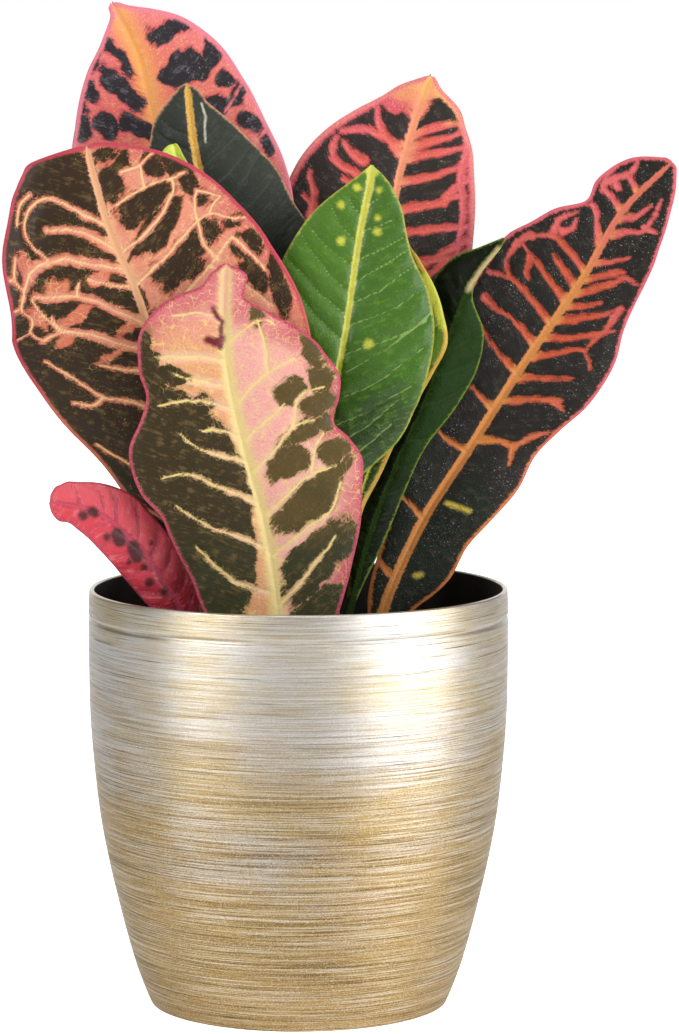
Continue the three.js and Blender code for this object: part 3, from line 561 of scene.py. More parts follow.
        "rib": [(9, -6, 126), (9, -5.5, 134), (9.5, -5, 143), (9, -3.5, 162.5), (10, -2, 173.5),
                (14, 0, 196.5), (17.5, 2, 220.5), (20.5, 3.5, 235.5), (21, 4.5, 240.5)],
        "left": [1.5, 8.5, 15.5, 20, 22, 21.5, 18.5, 14.5, 10, 6, 3, 1, 0.5],
        "right": [2.5, 18, 23.5, 25.5, 25, 21.5, 16, 13, 10.5, 7, 3.5, 1, 0.5],
        "face": [(0.1, -1, 0.15), (0, -1, 0.2)], "fold": (8, 12), "curl": (-10, -24), "wave": (0.5, 2, 2),
        "autoVeins": (0.05, 0.9, 12),
        "spots": [([(-5.2, 0.765)], 1.1), ([(4.8, 0.81)], 1.1), ([(4.2, 0.85)], 0.7), ([(7.2, 0.48)], 1.2),
                  ([(-0.6, 0.985), (0.6, 0.985)], 1.4), ([(-3.6, 0.925)], 0.9), ([(-7, 0.865)], 0.9),
                  ([(2.8, 0.93)], 0.6)],
    },
    "leaf_centre_narrow": {
        "petiole": 0.195, "look": "narrowGreen", "ribWidth": (0.4, 0.4), "veinWidth": 0.0,
        "rib": [(9, -6, 122), (13.5, -4, 127), (15.5, -2, 135), (17.5, -0.5, 146), (25, 2, 165),
                (29.5, 3, 176), (33.5, 4.5, 199), (31, 6, 219)],
        "left": [1.5, 2.5, 4.5, 5.5, 6.5, 6.5, 6.5, 5.5, 4.5, 3, 1.5, 0.5, 0.5],
        "right": [1.5, 3.5, 4, 5, 7.5, 10, 8, 6, 4, 2.5, 1, 0.5, 0.5],
        "face": [(0.1, -1, 0.15), (0.1, -1, 0.1)], "fold": (10, 10), "curl": (0, 0), "wave": (0, 1, 0),
        "autoVeins": (0.06, 0.9, 8),
        "spots": [([(4, 0.86), (6, 0.79), (8.5, 0.72)], 1.6)],
    },
    "leaf_right_folded": {
        "petiole": 0.124, "look": "deepGreen", "ribWidth": (0.5, 0.3), "veinWidth": 0.0,
        "rib": [(9, -6, 103), (13, -4, 110), (15.5, -2, 117.5), (21, 0, 136.5), (27.5, 3, 153.5),
                (36.5, 5, 173), (43.5, 7, 192), (49, 8, 206), (59, 9, 219.5)],
        "left": [1.5, 6, 8, 9, 9, 9.5, 11, 11, 9, 5, 2.5, 1, 0.5],
        "right": [1.5, 4.5, 5.5, 6, 9.5, 11.5, 9.5, 2.5, 1, 1, 1, 0.5, 0.5],
        "face": [(0.1, -1, 0.1), (0.1, -1, 0.1)], "fold": (-32, -14), "curl": (0, -4), "wave": (0, 1, 0),
        "autoVeins": (0.06, 0.9, 10),
        "spots": [([(0.3, 0.84), (0.5, 0.97)], 0.5)],
    },
    "leaf_right": {
        "petiole": 0.099, "look": "blackRed", "ribWidth": (1.6, 0.6), "veinWidth": 1.35,
        "cell": 0.6, "veinTaper": 0.55, "band": 1.1,
        "rib": [(9, -6, 95), (15, 0, 98), (20.5, 6, 102.5), (27, 9, 119.5), (36, 12, 138), (49, 14.5, 158),
                (64.5, 17, 182), (82, 18, 207.5), (93.5, 18, 227), (107.5, 17, 241)],
        "left": [1.5, 5.5, 7.5, 9.5, 12.5, 16, 19, 22, 24, 25.5, 26, 26, 24.5, 21, 17, 10.5, 11.5, 11, 10,
                 8.5, 6.5, 4.5, 3, 2, 0.5],
        "right": [1.5, 8.5, 14.5, 15, 17, 18.5, 17.5, 19.5, 22, 22.5, 21.5, 18.5, 17, 16.5, 16, 15, 14,
                  12.5, 10.5, 8.5, 6.5, 4.5, 3, 2, 0.5],
        "face": [(0.15, -1, 0.2), (0.1, -1, 0.2)], "fold": (8, 10), "curl": (-10, -18),
        "wave": (0.8, 3.5, 1),
        "islands": [(0, 0.45, 60, 150, 0)],
        "veins": [[(-1, 0.88), (-5, 0.885), (-9, 0.89), (-10, 0.93)],
                  [(-9, 0.895), (-6, 0.935), (-7, 0.96)], [(-6, 0.905), (-4, 0.905)],
                  [(-1, 0.81), (-4, 0.835), (-8, 0.86), (-11, 0.855)],
                  [(-1, 0.755), (-8, 0.775), (-14.5, 0.785), (-19, 0.765)],
                  [(-14.5, 0.785), (-14, 0.82), (-11, 0.84)], [(-12, 0.80), (-10, 0.815), (-10.5, 0.83)],
                  [(-1, 0.695), (-8, 0.71), (-15, 0.728), (-20, 0.738)],
                  [(-1, 0.65), (-9, 0.66), (-17, 0.675), (-24, 0.66)],
                  [(-19, 0.765), (-21, 0.74), (-21, 0.69), (-18, 0.675)],
                  [(-16, 0.725), (-15, 0.70), (-13, 0.69)], [(-1, 0.545), (-8, 0.555), (-16, 0.575)],
                  [(-20, 0.62), (-16, 0.613), (-12, 0.616)], [(0, 0.465), (-5, 0.475), (-9, 0.48)],
                  [(0, 0.38), (-5, 0.38), (-10, 0.385)], [(0, 0.24), (-4, 0.25), (-8, 0.255)],
                  [(-2, 0.13), (-6, 0.14)], [(1, 0.835), (5, 0.855), (8, 0.87), (8, 0.91), (6, 0.94)],
                  [(8, 0.88), (12, 0.89)], [(1, 0.775), (5, 0.795), (9, 0.815)],
                  [(1, 0.715), (6, 0.75), (10, 0.775), (14, 0.78)],
                  [(1, 0.66), (7, 0.69), (12, 0.72), (14.5, 0.735)], [(14, 0.73), (14, 0.70), (12.5, 0.65)],
                  [(1, 0.58), (6, 0.61), (12, 0.64), (17, 0.62)], [(1, 0.49), (8, 0.52), (15, 0.55)],
                  [(13, 0.54), (17, 0.535)], [(1, 0.405), (6, 0.425), (10, 0.43), (14, 0.465), (17, 0.485)],
                  [(11, 0.43), (12.5, 0.40)], [(1, 0.745), (6, 0.772), (9, 0.785)],
                  [(1, 0.69), (5, 0.705), (8, 0.725)], [(1, 0.62), (7, 0.65), (13, 0.68), (16, 0.70)],
                  [(1, 0.535), (7, 0.562), (14, 0.59)], [(-1, 0.725), (-7, 0.742), (-11, 0.755)],
                  [(-1, 0.60), (-7, 0.61), (-11, 0.615)], [(1, 0.865), (4, 0.885), (5, 0.92)],
                  [(-1, 0.92), (-4, 0.925), (-6, 0.935)]],
        "spots": [([(3.5, 0.285), (6, 0.29), (10, 0.295)], 0.55), ([(5, 0.143), (6.5, 0.15)], 0.5)],
    },
    "leaf_left_low": {
        "petiole": 0.284, "look": "crimson", "ribWidth": (0.8, 0.4), "veinWidth": 0.4,
        "rib": [(-18, 6, 97), (-24, -6, 104), (-29, -11, 108.5), (-36.5, -15, 121), (-45, -17, 134),
                (-57, -18, 143.5), (-70, -17, 146.5)],
        "left": [1.5, 6, 8, 9, 9, 8.5, 7.5, 6.5, 5, 5, 3.5, 1.5, 0.5],
        "right": [1.5, 6.5, 7.5, 8.5, 9, 10, 9.5, 8.5, 7.5, 7, 5.5, 4.5, 2.5],
        "face": [(-0.1, -1, 0.5), (-0.1, -1, 0.5)], "fold": (6, 6), "curl": (-24, -20), "wave": (0.4, 2, 0),
        "autoVeins": (0.06, 0.9, 8), "islands": [(0, 0.4, 20, 40, 0)],
        "spots": [([(-2.2, 0.825)], 1.3), ([(-0.4, 0.78), (-0.2, 0.795)], 1.3), ([(-4.5, 0.665)], 1.0),
                  ([(-2.8, 0.60), (-2, 0.63)], 1.8), ([(-5, 0.49)], 0.8),
                  ([(-2.4, 0.48), (-1.6, 0.53)], 1.8), ([(-2.5, 0.42)], 1.0), ([(-3.5, 0.34)], 1.2),
                  ([(-1.5, 0.26)], 1.1), ([(3, 0.485)], 0.5)],
    },
}

# The leaves round the back, which are plainer: each half is this shape, as wide as the leaf's halves say
plainHalf = [0.05, 0.34, 0.56, 0.74, 0.87, 0.95, 1, 0.97, 0.88, 0.72, 0.5, 0.27, 0.04]
rearDefaults = {
    "petiole": 0.25, "ribWidth": (1.0, 0.6), "veinWidth": 0.8, "autoVeins": (0.05, 0.92, 10),
    "fold": (12, 12), "curl": (-20, -20), "cell": 1.1,
}
rearLeaves = {
    "leaf_rear_upright": {
        "look": "darkSlate", "halves": (17, 18), "petiole": 0.22, "wave": (1, 2.5, 1),
        "rib": [(-3, 28, 140), (-3, 36, 149), (-2, 43, 165), (0, 50, 190), (2, 57, 214)],
        "face": [(0, -1, 0.5), (0, -1, 0.4)],
    },
    "leaf_rear_left_high": {
        "look": "coral", "halves": (15, 15), "wave": (1, 2.5, 2),
        "rib": [(-3, 28, 133), (-12, 34, 142), (-22, 40, 151), (-38, 47, 168), (-54, 52, 188)],
        "face": [(0.2, -0.8, 0.5), (0.2, -0.8, 0.6)],
    },
    "leaf_rear_right_high": {
        "look": "yellowPink", "halves": (15, 15), "wave": (1, 2.5, 3),
        "rib": [(-3, 28, 130), (6, 34, 138), (16, 40, 147), (34, 49, 163), (52, 56, 180)],
        "face": [(-0.2, -0.8, 0.5), (-0.2, -0.8, 0.6)],
    },
    "leaf_rear_left_low": {
        "look": "oliveRose", "halves": (12, 12), "wave": (0.8, 2, 1),
        "rib": [(-3, 28, 120), (-12, 37, 126), (-22, 46, 133), (-38, 54, 143), (-50, 59, 149)],
        "face": [(0.2, -0.6, 0.8), (0.2, -0.5, 0.8)],
    },
    "leaf_rear_right_low": {
        "look": "darkSlate", "halves": (12, 12), "wave": (0.8, 2, 2),
        "rib": [(-3, 28, 117), (6, 38, 122), (16, 46, 129), (34, 56, 138), (50, 62, 143)],
        "face": [(-0.2, -0.6, 0.8), (-0.2, -0.5, 0.8)],
    },
    "leaf_rear_drooping": {
        "look": "green", "halves": (12, 12), "petiole": 0.28, "curl": (-16, -16), "wave": (0.8, 2, 0),
        "rib": [(-3, 28, 105), (-2, 40, 114), (0, 52, 125), (3, 68, 130), (5, 82, 125), (6, 92, 116)],
        "face": [(0, -0.6, 0.8), (0, 0.5, 0.9)],
    },
    "leaf_left_rear": {
        "look": "crimson", "halves": (10, 10), "wave": (0.6, 2, 1),
        "rib": [(-18, 6, 112), (-25, 14, 117), (-32, 20.5, 122), (-43.5, 29, 133), (-53, 36, 143)],
        "face": [(0.3, -0.6, 0.7), (0.3, -0.6, 0.7)],
    },
}
for name, leaf in rearLeaves.items():
    leaves[name] = {**rearDefaults, **leaf}
    for side, width in zip(("left", "right"), leaf["halves"]):
        leaves[name][side] = [share * width for share in plainHalf]

# How every leaf is built, in mm: rows, middle surface, thickness, relief, and the drawing of its marks
leafBuild = {
    "petioleRows": 14, "tipFrom": 0.72, "tipRows": 44,
    "petioleRadius": 1.5, "petioleEdge": 0.3, "tipWidth": 0.4, "opening": 1 / 6,
    "halfThickness": 0.36, "edgeThinning": 0.55, "ribDepth": 1.1, "ribReach": 0.9, "calmEdge": 3,
    "puffReach": 3.5, "veinSink": 0.22, "veinReach": 0.8, "ribGroove": 0.25, "grooveReach": 1.2,
    "wanderScale": 0.11, "jitterScale": 0.34, "islandWander": 2.4, "islandJitter": 1.3,
    "veinWander": 0.6, "veinJitter": 0.35, "wideVein": 1.8, "ribPoint": 6, "veinSlope": 0.6,
    "noiseStep": 40.0,
}
# Side veins that are drawn by rule: their scatter along the rib, their sweep towards the tip, two points on
# each as (share of the width, share of the sweep). The width is taken a little ahead, no further than last.
sideVein = {"scatter": 0.2, "sweep": (0.32, 0.5), "middle": (0.45, 0.7), "end": (0.9, 1.7), "ahead": 0.1,
            "last": 0.97}
far = 1e3  # beyond any mark


def widthAt(widths, where):
    # Half-width at places counted in stations, on a smooth curve through the stations
    widths = np.asarray(widths, float)
    i = np.minimum(where.astype(int), len(widths) - 2)
    t = where - i
    a, b, c, d = [widths[np.clip(i + step, 0, len(widths) - 1)] for step in (-1, 0, 1, 2)]
    return b + 0.5 * t * (c - a + t * (2 * a - 5 * b + 4 * c - d + t * (3 * (b - c) + d - a)))


def unit(vectors):
    return vectors / np.linalg.norm(vectors, axis=-1, keepdims=True)


def ribCurve(leaf):
    curve = throughPoints(leaf["rib"], 200)
    arcs = np.concatenate([[0], np.cumsum(np.linalg.norm(np.diff(curve, axis=0), axis=1))])
    return curve, arcs, arcs[-1] * (1 - leaf["petiole"])


def leafGrid(leaf, length):
    # Rows along the leaf, closer together towards the tip, and columns from -1 at the left edge to 1
    halfColumns = int((max(leaf["left"]) + max(leaf["right"])) / leaf["cell"] / 2)
    columns = np.concatenate([np.linspace(-1, 0, halfColumns + 1), np.linspace(0, 1, halfColumns + 1)[1:]])
    petiole = np.linspace(-1, 0, leafBuild["petioleRows"], endpoint=False)
    even = np.linspace(0, 1, int(length / leaf["cell"]) + 1)
    tip = 1 - np.linspace(1 - leafBuild["tipFrom"], 0, leafBuild["tipRows"]) ** 2
    return np.concatenate([petiole, even[even < tip[0]], tip]), columns


def leafSheet(leaf, curve, arcs, along, columns):
    # The middle surface, one row for each value of along: below 0 is the petiole, 0 to 1 the blade
    petiole = leaf["petiole"]
    reach = np.where(along < 0, petiole * (1 + along), petiole + (1 - petiole) * along) * arcs[-1]
    centre = np.stack([np.interp(reach, arcs, curve[:, i]) for i in range(3)], 1)
    slope = np.gradient(curve, arcs, axis=0)
    tangent = unit(np.stack([np.interp(reach, arcs, slope[:, i]) for i in range(3)], 1))
    on = np.clip(along, 0, 1)[:, None]
    face = (1 - on) * np.asarray(leaf["face"][0], float) + on * np.asarray(leaf["face"][1], float)
    face = unit(face - tangent * np.sum(face * tangent, axis=1, keepdims=True))
    side = np.cross(tangent, face)
    q = 1 - np.sqrt(1 - on)  # the half-widths' stations lie closer together towards the tip
    opened = np.clip(q / leafBuild["opening"], 0, 1)
    least = leafBuild["petioleRadius"] * (1 - q) + leafBuild["tipWidth"] * q
    share = np.abs(columns)[None, :]
    isRight = (columns >= 0)[None, :]
    stations = len(leaf["left"]) - 1
    widths = [np.maximum(least, widthAt(leaf[half], q * stations)) for half in ("left", "right")]
    width = np.where(isRight, widths[1], widths[0])
    width = np.where(along[:, None] < 0, leafBuild["petioleRadius"], width)
    fold, curl = [np.radians(np.where(isRight, *leaf[key][::-1])) * opened for key in ("fold", "curl")]
    curl = curl * share
    curl = np.where(np.abs(curl) < 1e-6, 1e-6, curl)
    radius = width * share / curl
    out = np.sign(columns)[None, :] * radius * (np.sin(fold + curl) - np.sin(fold))
    height, count, phase = leaf["wave"]
    wave = height * share ** 2 * np.sin(2 * np.pi * count * on + phase + isRight) * opened * (1 - q ** 4)
    up = wave - radius * (np.cos(fold + curl) - np.cos(fold))
    sheet = centre[:, None, :] + side[:, None, :] * out[..., None] + face[:, None, :] * up[..., None]
    across = np.sign(columns)[None, :] * width * share
    return sheet, face, across, q, opened


def distanceTo(points, line):
    # Distance from each point to a line of points, and the share along it of the nearest place
    nearest = np.full(len(points), far)
    place = np.zeros(len(points))
    if len(line) == 1:
        return np.linalg.norm(points - line[0], axis=1), place
    for i, (a, b) in enumerate(zip(line[:-1], line[1:])):
        step = b - a
        t = np.clip((points - a) @ step / (step @ step), 0, 1)
        distance = np.linalg.norm(points - a - t[:, None] * step, axis=1)
        place = np.where(distance < nearest, (i + t) / (len(line) - 1), place)
        nearest = np.minimum(nearest, distance)
    return nearest, place


def ruledVeins(leaf, length):
    # Side veins in pairs that leave the rib squarely and sweep towards the tip
    start, end, count = leaf["autoVeins"]
    lines = []
    for i in range(count):
        for half, sign in (("left", -1), ("right", 1)):
            scatter = rng.uniform(-sideVein["scatter"], sideVein["scatter"])
            base = start + (end - start) * (i + 0.5 * (sign > 0) + scatter) / count
            q = 1 - math.sqrt(1 - min(base + sideVein["ahead"], sideVein["last"]))
            width = float(widthAt(leaf[half], np.array([q * (len(leaf[half]) - 1)]))[0])
            sweep = width / length * rng.uniform(*sideVein["sweep"])
            line = [(0, base)]
            for out, forward in (sideVein["middle"], sideVein["end"]):
                line.append((sign * width * out, base + sweep * forward))
            lines.append(line)
    return lines


def inIsland(points, island, length):
    # Depth inside an oval patch in mm, below 0 outside it
    across, along, halfWidth, halfLength, turn = island
    angle = math.radians(turn)
    offset = points - np.array([across, along * length])
    x = offset[:, 0] * math.cos(angle) + offset[:, 1] * math.sin(angle)
    y = offset[:, 1] * math.cos(angle) - offset[:, 0] * math.sin(angle)
    return (1 - np.sqrt((x / halfWidth) ** 2 + (y / halfLength) ** 2)) * min(halfWidth, halfLength)


def shifts(points, scale, length):
    # Noise in both directions, its own for a leaf of this length
    places = [Vector((x * scale, y * scale, length)) for x, y in points]
    return np.array([blenderNoise.noise_vector(place) for place in places])[:, :2]


def leafMarks(leaf, points, outline, q, length):
    # Values in mm for the shader, at flat points (across, along)
    b = leafBuild
    wander, jitter = [shifts(points, b[key], length) for key in ("wanderScale", "jitterScale")]
    moved = points + wander * b["islandWander"] + jitter * b["islandJitter"]
    veinMoved = points + wander * b["veinWander"] + jitter * b["veinJitter"]
    flat = np.array([1, length])
    dark = np.full(len(points), -far)
    for island in leaf["islands"]:
        dark = np.maximum(dark, inIsland(moved, island, length))
    dark = dark + leaf["swell"]
    for gap in leaf["gaps"]:
        dark = np.minimum(dark, -inIsland(moved, gap, length))
    vein = np.full(len(points), far)
    lines = [(line, 1) for line in leaf["veins"]] + [(line, b["wideVein"]) for line in leaf["wideVeins"]]
    if leaf["autoVeins"]:
        lines += [(line, 1) for line in ruledVeins(leaf, length)]
    for line, wider in lines:
        distance, place = distanceTo(veinMoved, throughPoints(np.array(line) * flat, 6))
        vein = np.minimum(vein, distance)
        if leaf["veinWidth"] > 0:
            dark = np.minimum(dark, distance - leaf["veinWidth"] * wider * (1 - leaf["veinTaper"] * place))
    ribHalf = leaf["ribWidth"][0] * (1 - q) + leaf["ribWidth"][1] * q
    rib = np.abs(points[:, 0]) - ribHalf * np.clip((1 - q) * b["ribPoint"], 0.1, 1)
    edge = distanceTo(points, outline)[0]
    dark = np.minimum(np.minimum(dark, rib), edge - leaf["band"])
    spot = np.full(len(points), -far)
    for line, radius in leaf["spots"]:
        spot = np.maximum(spot, radius - leaf["spotSharp"] * distanceTo(points, np.array(line) * flat)[0])
    vein = np.minimum(vein, np.abs(points[:, 0]))
    return {"dark": dark, "rib": rib, "vein": vein, "edge": edge, "spot": spot}


def leafSkins(leaf, sheet, face, across, columns, q, opened, vein, edge):
    # The upper and lower skin: puffed between the veins, sunk over them, with the midrib underneath
    b = leafBuild
    normal = unit(np.cross(np.gradient(sheet, axis=0), np.gradient(sheet, axis=1)))
    normal *= np.sign(np.sum(normal * face[:, None, :], axis=2, keepdims=True))
    share = np.abs(columns)[None, :]
    calm = np.clip(edge / b["calmEdge"], 0, 1) * opened
    relief = leaf["puff"] * np.clip(vein / b["puffReach"], 0, 1) ** 0.7 * calm
    relief -= b["veinSink"] * np.exp(-(vein / b["veinReach"]) ** 2) * calm
    relief -= b["ribGroove"] * np.exp(-(across / b["grooveReach"]) ** 2) * opened
    stalk = np.maximum(b["petioleEdge"], b["petioleRadius"] * np.sqrt(1 - share ** 2)) * (1 - opened)
    thin = b["halfThickness"] * (1 - b["edgeThinning"] * share ** 8)
    under = thin + b["ribDepth"] * (1 - q) * np.exp(-(across / b["ribReach"]) ** 2)
    upper = sheet + normal * (stalk + (thin + relief) * opened)[..., None]
    lower = sheet - normal * (stalk + (under - relief) * opened)[..., None]
    return np.concatenate([upper.reshape(-1, 3), lower.reshape(-1, 3)])


def closedFaces(shape):
    # Faces of two grids of this shape, upper and lower, and of the strip that joins their edges
    index = np.arange(shape[0] * shape[1]).reshape(shape)
    count = index.size
    a, b, c, d = index[:-1, :-1], index[:-1, 1:], index[1:, 1:], index[1:, :-1]
    upper = np.stack([a, b, c, d], 2).reshape(-1, 4)
    lower = np.stack([a, d, c, b], 2).reshape(-1, 4) + count
    ring = np.concatenate([index[0, :], index[1:, -1], index[-1, -2::-1], index[-2:0:-1, 0]])
    following = np.roll(ring, -1)
    strip = np.stack([following, ring, ring + count, following + count], 1)
    return np.concatenate([upper, lower, strip]).tolist()


def makeLeaf(name, leaf, seed):
    curve, arcs, length = ribCurve(leaf)
    along, columns = leafGrid(leaf, length)
    sheet, face, across, q, opened = leafSheet(leaf, curve, arcs, along, columns)
    flat = np.stack([across, np.repeat(along[:, None] * length, len(columns), 1)], 2)
    outline = np.concatenate([flat[:, 0], flat[::-1, -1]])[::2]
    points = flat.reshape(-1, 2)
    marks = leafMarks(leaf, points, outline, np.repeat(q, len(columns)), length)
    vein, edge = [marks[key].reshape(across.shape) for key in ("vein", "edge")]
    vertices = leafSkins(leaf, sheet, face, across, columns, q, opened, vein, edge)

    fromRib = np.abs(points[:, 0])
    layer = np.full(len(points), seed * leafBuild["noiseStep"])  # each leaf has its own part of the noise
    marks["top"] = np.ones(len(points))
    marks["along"] = points[:, 1] / length
    marks["flat"] = np.stack([*points.T, layer], 1)
    alongVeins = points[:, 1] - fromRib * leafBuild["veinSlope"]
    marks["flow"] = np.stack([alongVeins, fromRib, layer + np.sign(points[:, 0])], 1)
    layers = {key: np.concatenate([values, values]) for key, values in marks.items()}
    layers["top"][len(points):] = 0
    material, slot = leafMaterials[leaf["look"]], leafFinish[leaf["look"]][0]
    makePiece(name + "_blade", vertices, closedFaces(across.shape), [material], name, layers=layers)


for seed, (name, leaf) in enumerate(leaves.items()):
    makeLeaf(name, {**leafDefaults, **leaf}, seed)
print("leaves made:", len(leaves))


# Cover pot: brushed gold and silver outside, black inside

coverPot = {
    "height": 120, "wall": 1.5, "floor": 2, "rim": 60, "widest": 60.2, "grooveDrop": 7.8, "grooveDepth": 0.4,
    "grooveHalf": 0.7, "lip": 0.4, "sides": 256,
    "outline": [(42.9, 0), (44.2, 3), (46.8, 10), (49.7, 20), (52.2, 30), (54.5, 40), (57.1, 54), (58.9, 70),
                (59.9, 84), (60.2, 100)],
}
# Layers of noise are (stretch each way, detail, roughness), silver parts are the layers' shares in where it
# is silver, and strokes are (layer, from, to, share, colour)
metalLook = {
    "metallic": 0.92, "anisotropy": 0.55, "turn": 0.25, "roughness": (0.35, 0.46), "bump": 0.1,
    "gold": "c0a166", "silver": "c6c0bc", "copper": "c2966c", "darkLine": "54472f",
    # The pale gold and pale silver are a painted highlight over the upper part
    "highlightGold": "dccdaa", "highlightSilver": "e6e4e2",
    "layers": {
        "patches": ((22, 22, 40), 3.0, 0.6), "bands": ((24, 24, 480), 4.0, 0.65),
        "streaks": ((27, 27, 3500), 2.5, 0.8), "scratches": ((90, 90, 5200), 2.0, 0.7),
        "sparkle": ((2200, 2200, 3800), 2.0, 0.7), "darkBands": ((20, 20, 2300), 3.0, 0.6),
    },
    "silverParts": {"patches": 1.1, "bands": 0.3, "streaks": 0.7},
    "strokes": [("streaks", 0.475, 0.405, 0.85, "765f38"), ("streaks", 0.53, 0.61, 0.7, "eae3d6"),
                ("sparkle", 0.53, 0.68, 0.58, "f4ecda"), ("sparkle", 0.47, 0.32, 0.62, "78643e")],
}
satinInputs = {"Tint": "101011", "Haze": "26211f", "Roughness": 0.5}
satinBump = 0.05
satinLooks = {"pot_inside": {"Tint": "15110f", "Roughness": 0.4}, "nursery_pot": {}}


def brushedMetal():
    m = metalLook
    material, tree, shader = newMaterial("brushed_gold")
    where = onObject(tree)
    rise = coordinate(tree, where, 2)
    layers = {}
    for name, (stretch, detail, roughness) in m["layers"].items():
        layers[name] = grain(tree, stretched(tree, where, stretch), 1.0, detail, roughness)
    silver = ramp(tree, rise, 0.0, 0.12, -0.3, 0.1)  # more of it towards the top
    for name, share in m["silverParts"].items():
        silver = plus(tree, silver, layers[name], share)
    colour = blend(tree, ramp(tree, silver, 0.84, 1.3), srgb(m["gold"]), srgb(m["silver"]))
    copper = ramp(tree, grain(tree, where, 24.0, 2.0), 0.56, 0.72, 0.0, 0.25)
    colour = blend(tree, copper, colour, srgb(m["copper"]))
    for name, low, high, share, tint in m["strokes"]:
        colour = blend(tree, ramp(tree, layers[name], low, high, 0.0, share), colour, srgb(tint))
    # Painted highlight: from about halfway up towards the rim the colour is blended into pale gold and pale
    # silver
    paintedHighlight = blend(tree, ramp(tree, silver, 0.9, 1.3), srgb(m["highlightGold"]), srgb(m["highlightSilver"]))
    colour = blend(tree, ramp(tree, rise, 0.05, 0.11, 0.0, 0.6), colour, paintedHighlight)
    streaks, scratches = layers["streaks"], layers["scratches"]
    darkLines = times(tree, ramp(tree, layers["darkBands"], 0.40, 0.31), ramp(tree, scratches, 0.3, 0.5))
    colour = blend(tree, times(tree, darkLines, 0.75), colour, srgb(m["darkLine"]))
    tree.links.new(colour, shader.inputs["Base Color"])
    tree.links.new(ramp(tree, scratches, 0.3, 0.7, *m["roughness"]), shader.inputs["Roughness"])
    shader.inputs["Metallic"].default_value = m["metallic"]
    shader.inputs["Anisotropic"].default_value = m["anisotropy"]
    shader.inputs["Anisotropic Rotation"].default_value = m["turn"]
    height = plus(tree, times(tree, streaks, 0.8), scratches, 0.6)
    setBump(tree, shader, plus(tree, height, darkLines, -0.3), m["bump"])
    return material


def buildSatinBlack():
    # Black with a brownish haze and fine specks, for the inside of the cover pot and for the nursery pot
    tree, given = newGroup("satinBlack", satinInputs)
    where = onObject(tree)
    haze = ramp(tree, grain(tree, where, 90.0), 0.3, 0.7)
    specks = grain(tree, where, 1500.0, 2.0)
    roughness = plus(tree, given["Roughness"], ramp(tree, specks, 0.3, 0.7, -0.05, 0.08))
    endGroup(tree, blend(tree, haze, given["Tint"], given["Haze"]), roughness, specks)
    return tree


satinBlack = buildSatinBlack()


def satinMaterial(name):
    return groupMaterial(name, satinBlack, satinLooks[name], satinBump)[0]


def buildCoverPot():
    p = coverPot
    rim, lip, wall, widest, top = p["rim"], p["lip"], p["wall"], p["widest"], p["height"]
    outline = throughPoints(p["outline"], 8)
    groove = top - p["grooveDrop"]
    outside = [(0.5, 0.0), (20, 0.0), (40, 0.0), *[tuple(point) for point in outline]]
    for z in np.linspace(101, groove - p["grooveHalf"] - 0.6, 5):
        outside.append((widest, z))
    for t in np.linspace(-1, 1, 9):
        depth = p["grooveDepth"] * math.cos(t * math.pi / 2) ** 0.6
        outside.append((widest - depth, groove + t * p["grooveHalf"]))
    outside += [(widest, groove + 1.4), (rim + 0.1, top - 2.4), (rim, top - 2 * lip)]
    outside += [(rim - 0.08, top - lip), (rim - 0.3, top - 0.14), (rim - wall / 2, top)]
    inside = [(rim - wall + 0.25, top - 0.14), (rim - wall + 0.06, top - lip)]
    inside += [(rim - wall, top - 2 * lip), (rim - wall, 112), (rim - wall, 105)]
    inside += [(radius - wall, z) for radius, z in outline[::-1] if z > p["floor"] + 1]
    inside += [(p["outline"][0][0] - wall, p["floor"]), (20, p["floor"]), (0.5, p["floor"])]
    vertices, faces = turned(outside + inside, p["sides"])
    metalFaces = (len(outside) + 1) * p["sides"]
    kinds = [0 if i < metalFaces else 1 for i in range(len(faces))]
    kinds[-2:] = [0, 1]  # the faces that close the underside and the floor
    materials = [brushedMetal(), satinMaterial("pot_inside")]
    makePiece("cover_pot_shell", vertices, faces, materials, "pot", kinds)


buildCoverPot()
print("cover pot made")


# Nursery pot, soil and stems

growPot = {
    "foot": 2.3, "base": 37.5, "shoulder": 50.5, "rim": 53, "height": 92, "band": 7, "wall": 1.2, "step": 0.6,
    "sides": 160,
}
# Swells are (height, across, back, start) and crumbs are (share, scale, layer of the noise)
soilShape = {
    "top": 86, "shrink": 0.5, "sink": 0.4, "rings": 110, "sides": 260, "shoulder": 1.5, "highest": 1.2,
    "swells": [(0.9, 0.31, 0, 1), (0.9, 0, 0.27, 1.6), (0.5, 0.12, -0.52, 0)],
    "crumbHeight": 0.75, "crumbs": [(1, 0.55, 3), (0.6, 1.3, 9)],
}
soilLook = {"dark": "2a1c12", "brown": "4b3524", "chip": "9c917f", "damp": "1b120c", "roughness": 0.95,
            "bump": 0.9}
barkLook = {"green": "6a6a3a", "brown": "8a7a58", "furrow": "4b4128", "pore": "b3a684", "roughness": 0.72,
            "bump": 0.35}
stems = {
    "stem_front": {"at": (-4.5, -30), "top": 110, "nodes": [94]},
    "stem_left": {"at": (-18, 6), "top": 160, "nodes": [97, 103, 112, 142, 150]},
    "stem_right": {"at": (9, -6), "top": 133, "nodes": [95, 103, 122]},
    "stem_rear": {"at": (-3, 28), "top": 164, "nodes": [105, 118, 132, 140, 157]},
}
# Ring and crease at each node are (height, above the node, width)
stemBuild = {"radius": 3, "waist": 0.15, "depth": 16, "clearance": 0.3, "sides": 40, "step": 0.5,
             "ring": (0.42, -1, 1.1), "crease": (0.18, 1.4, 0.5)}


def growPotRadius(z):
    p = growPot
    return p["base"] + (p["shoulder"] - p["base"]) * (z - p["foot"]) / (p["height"] - p["band"])


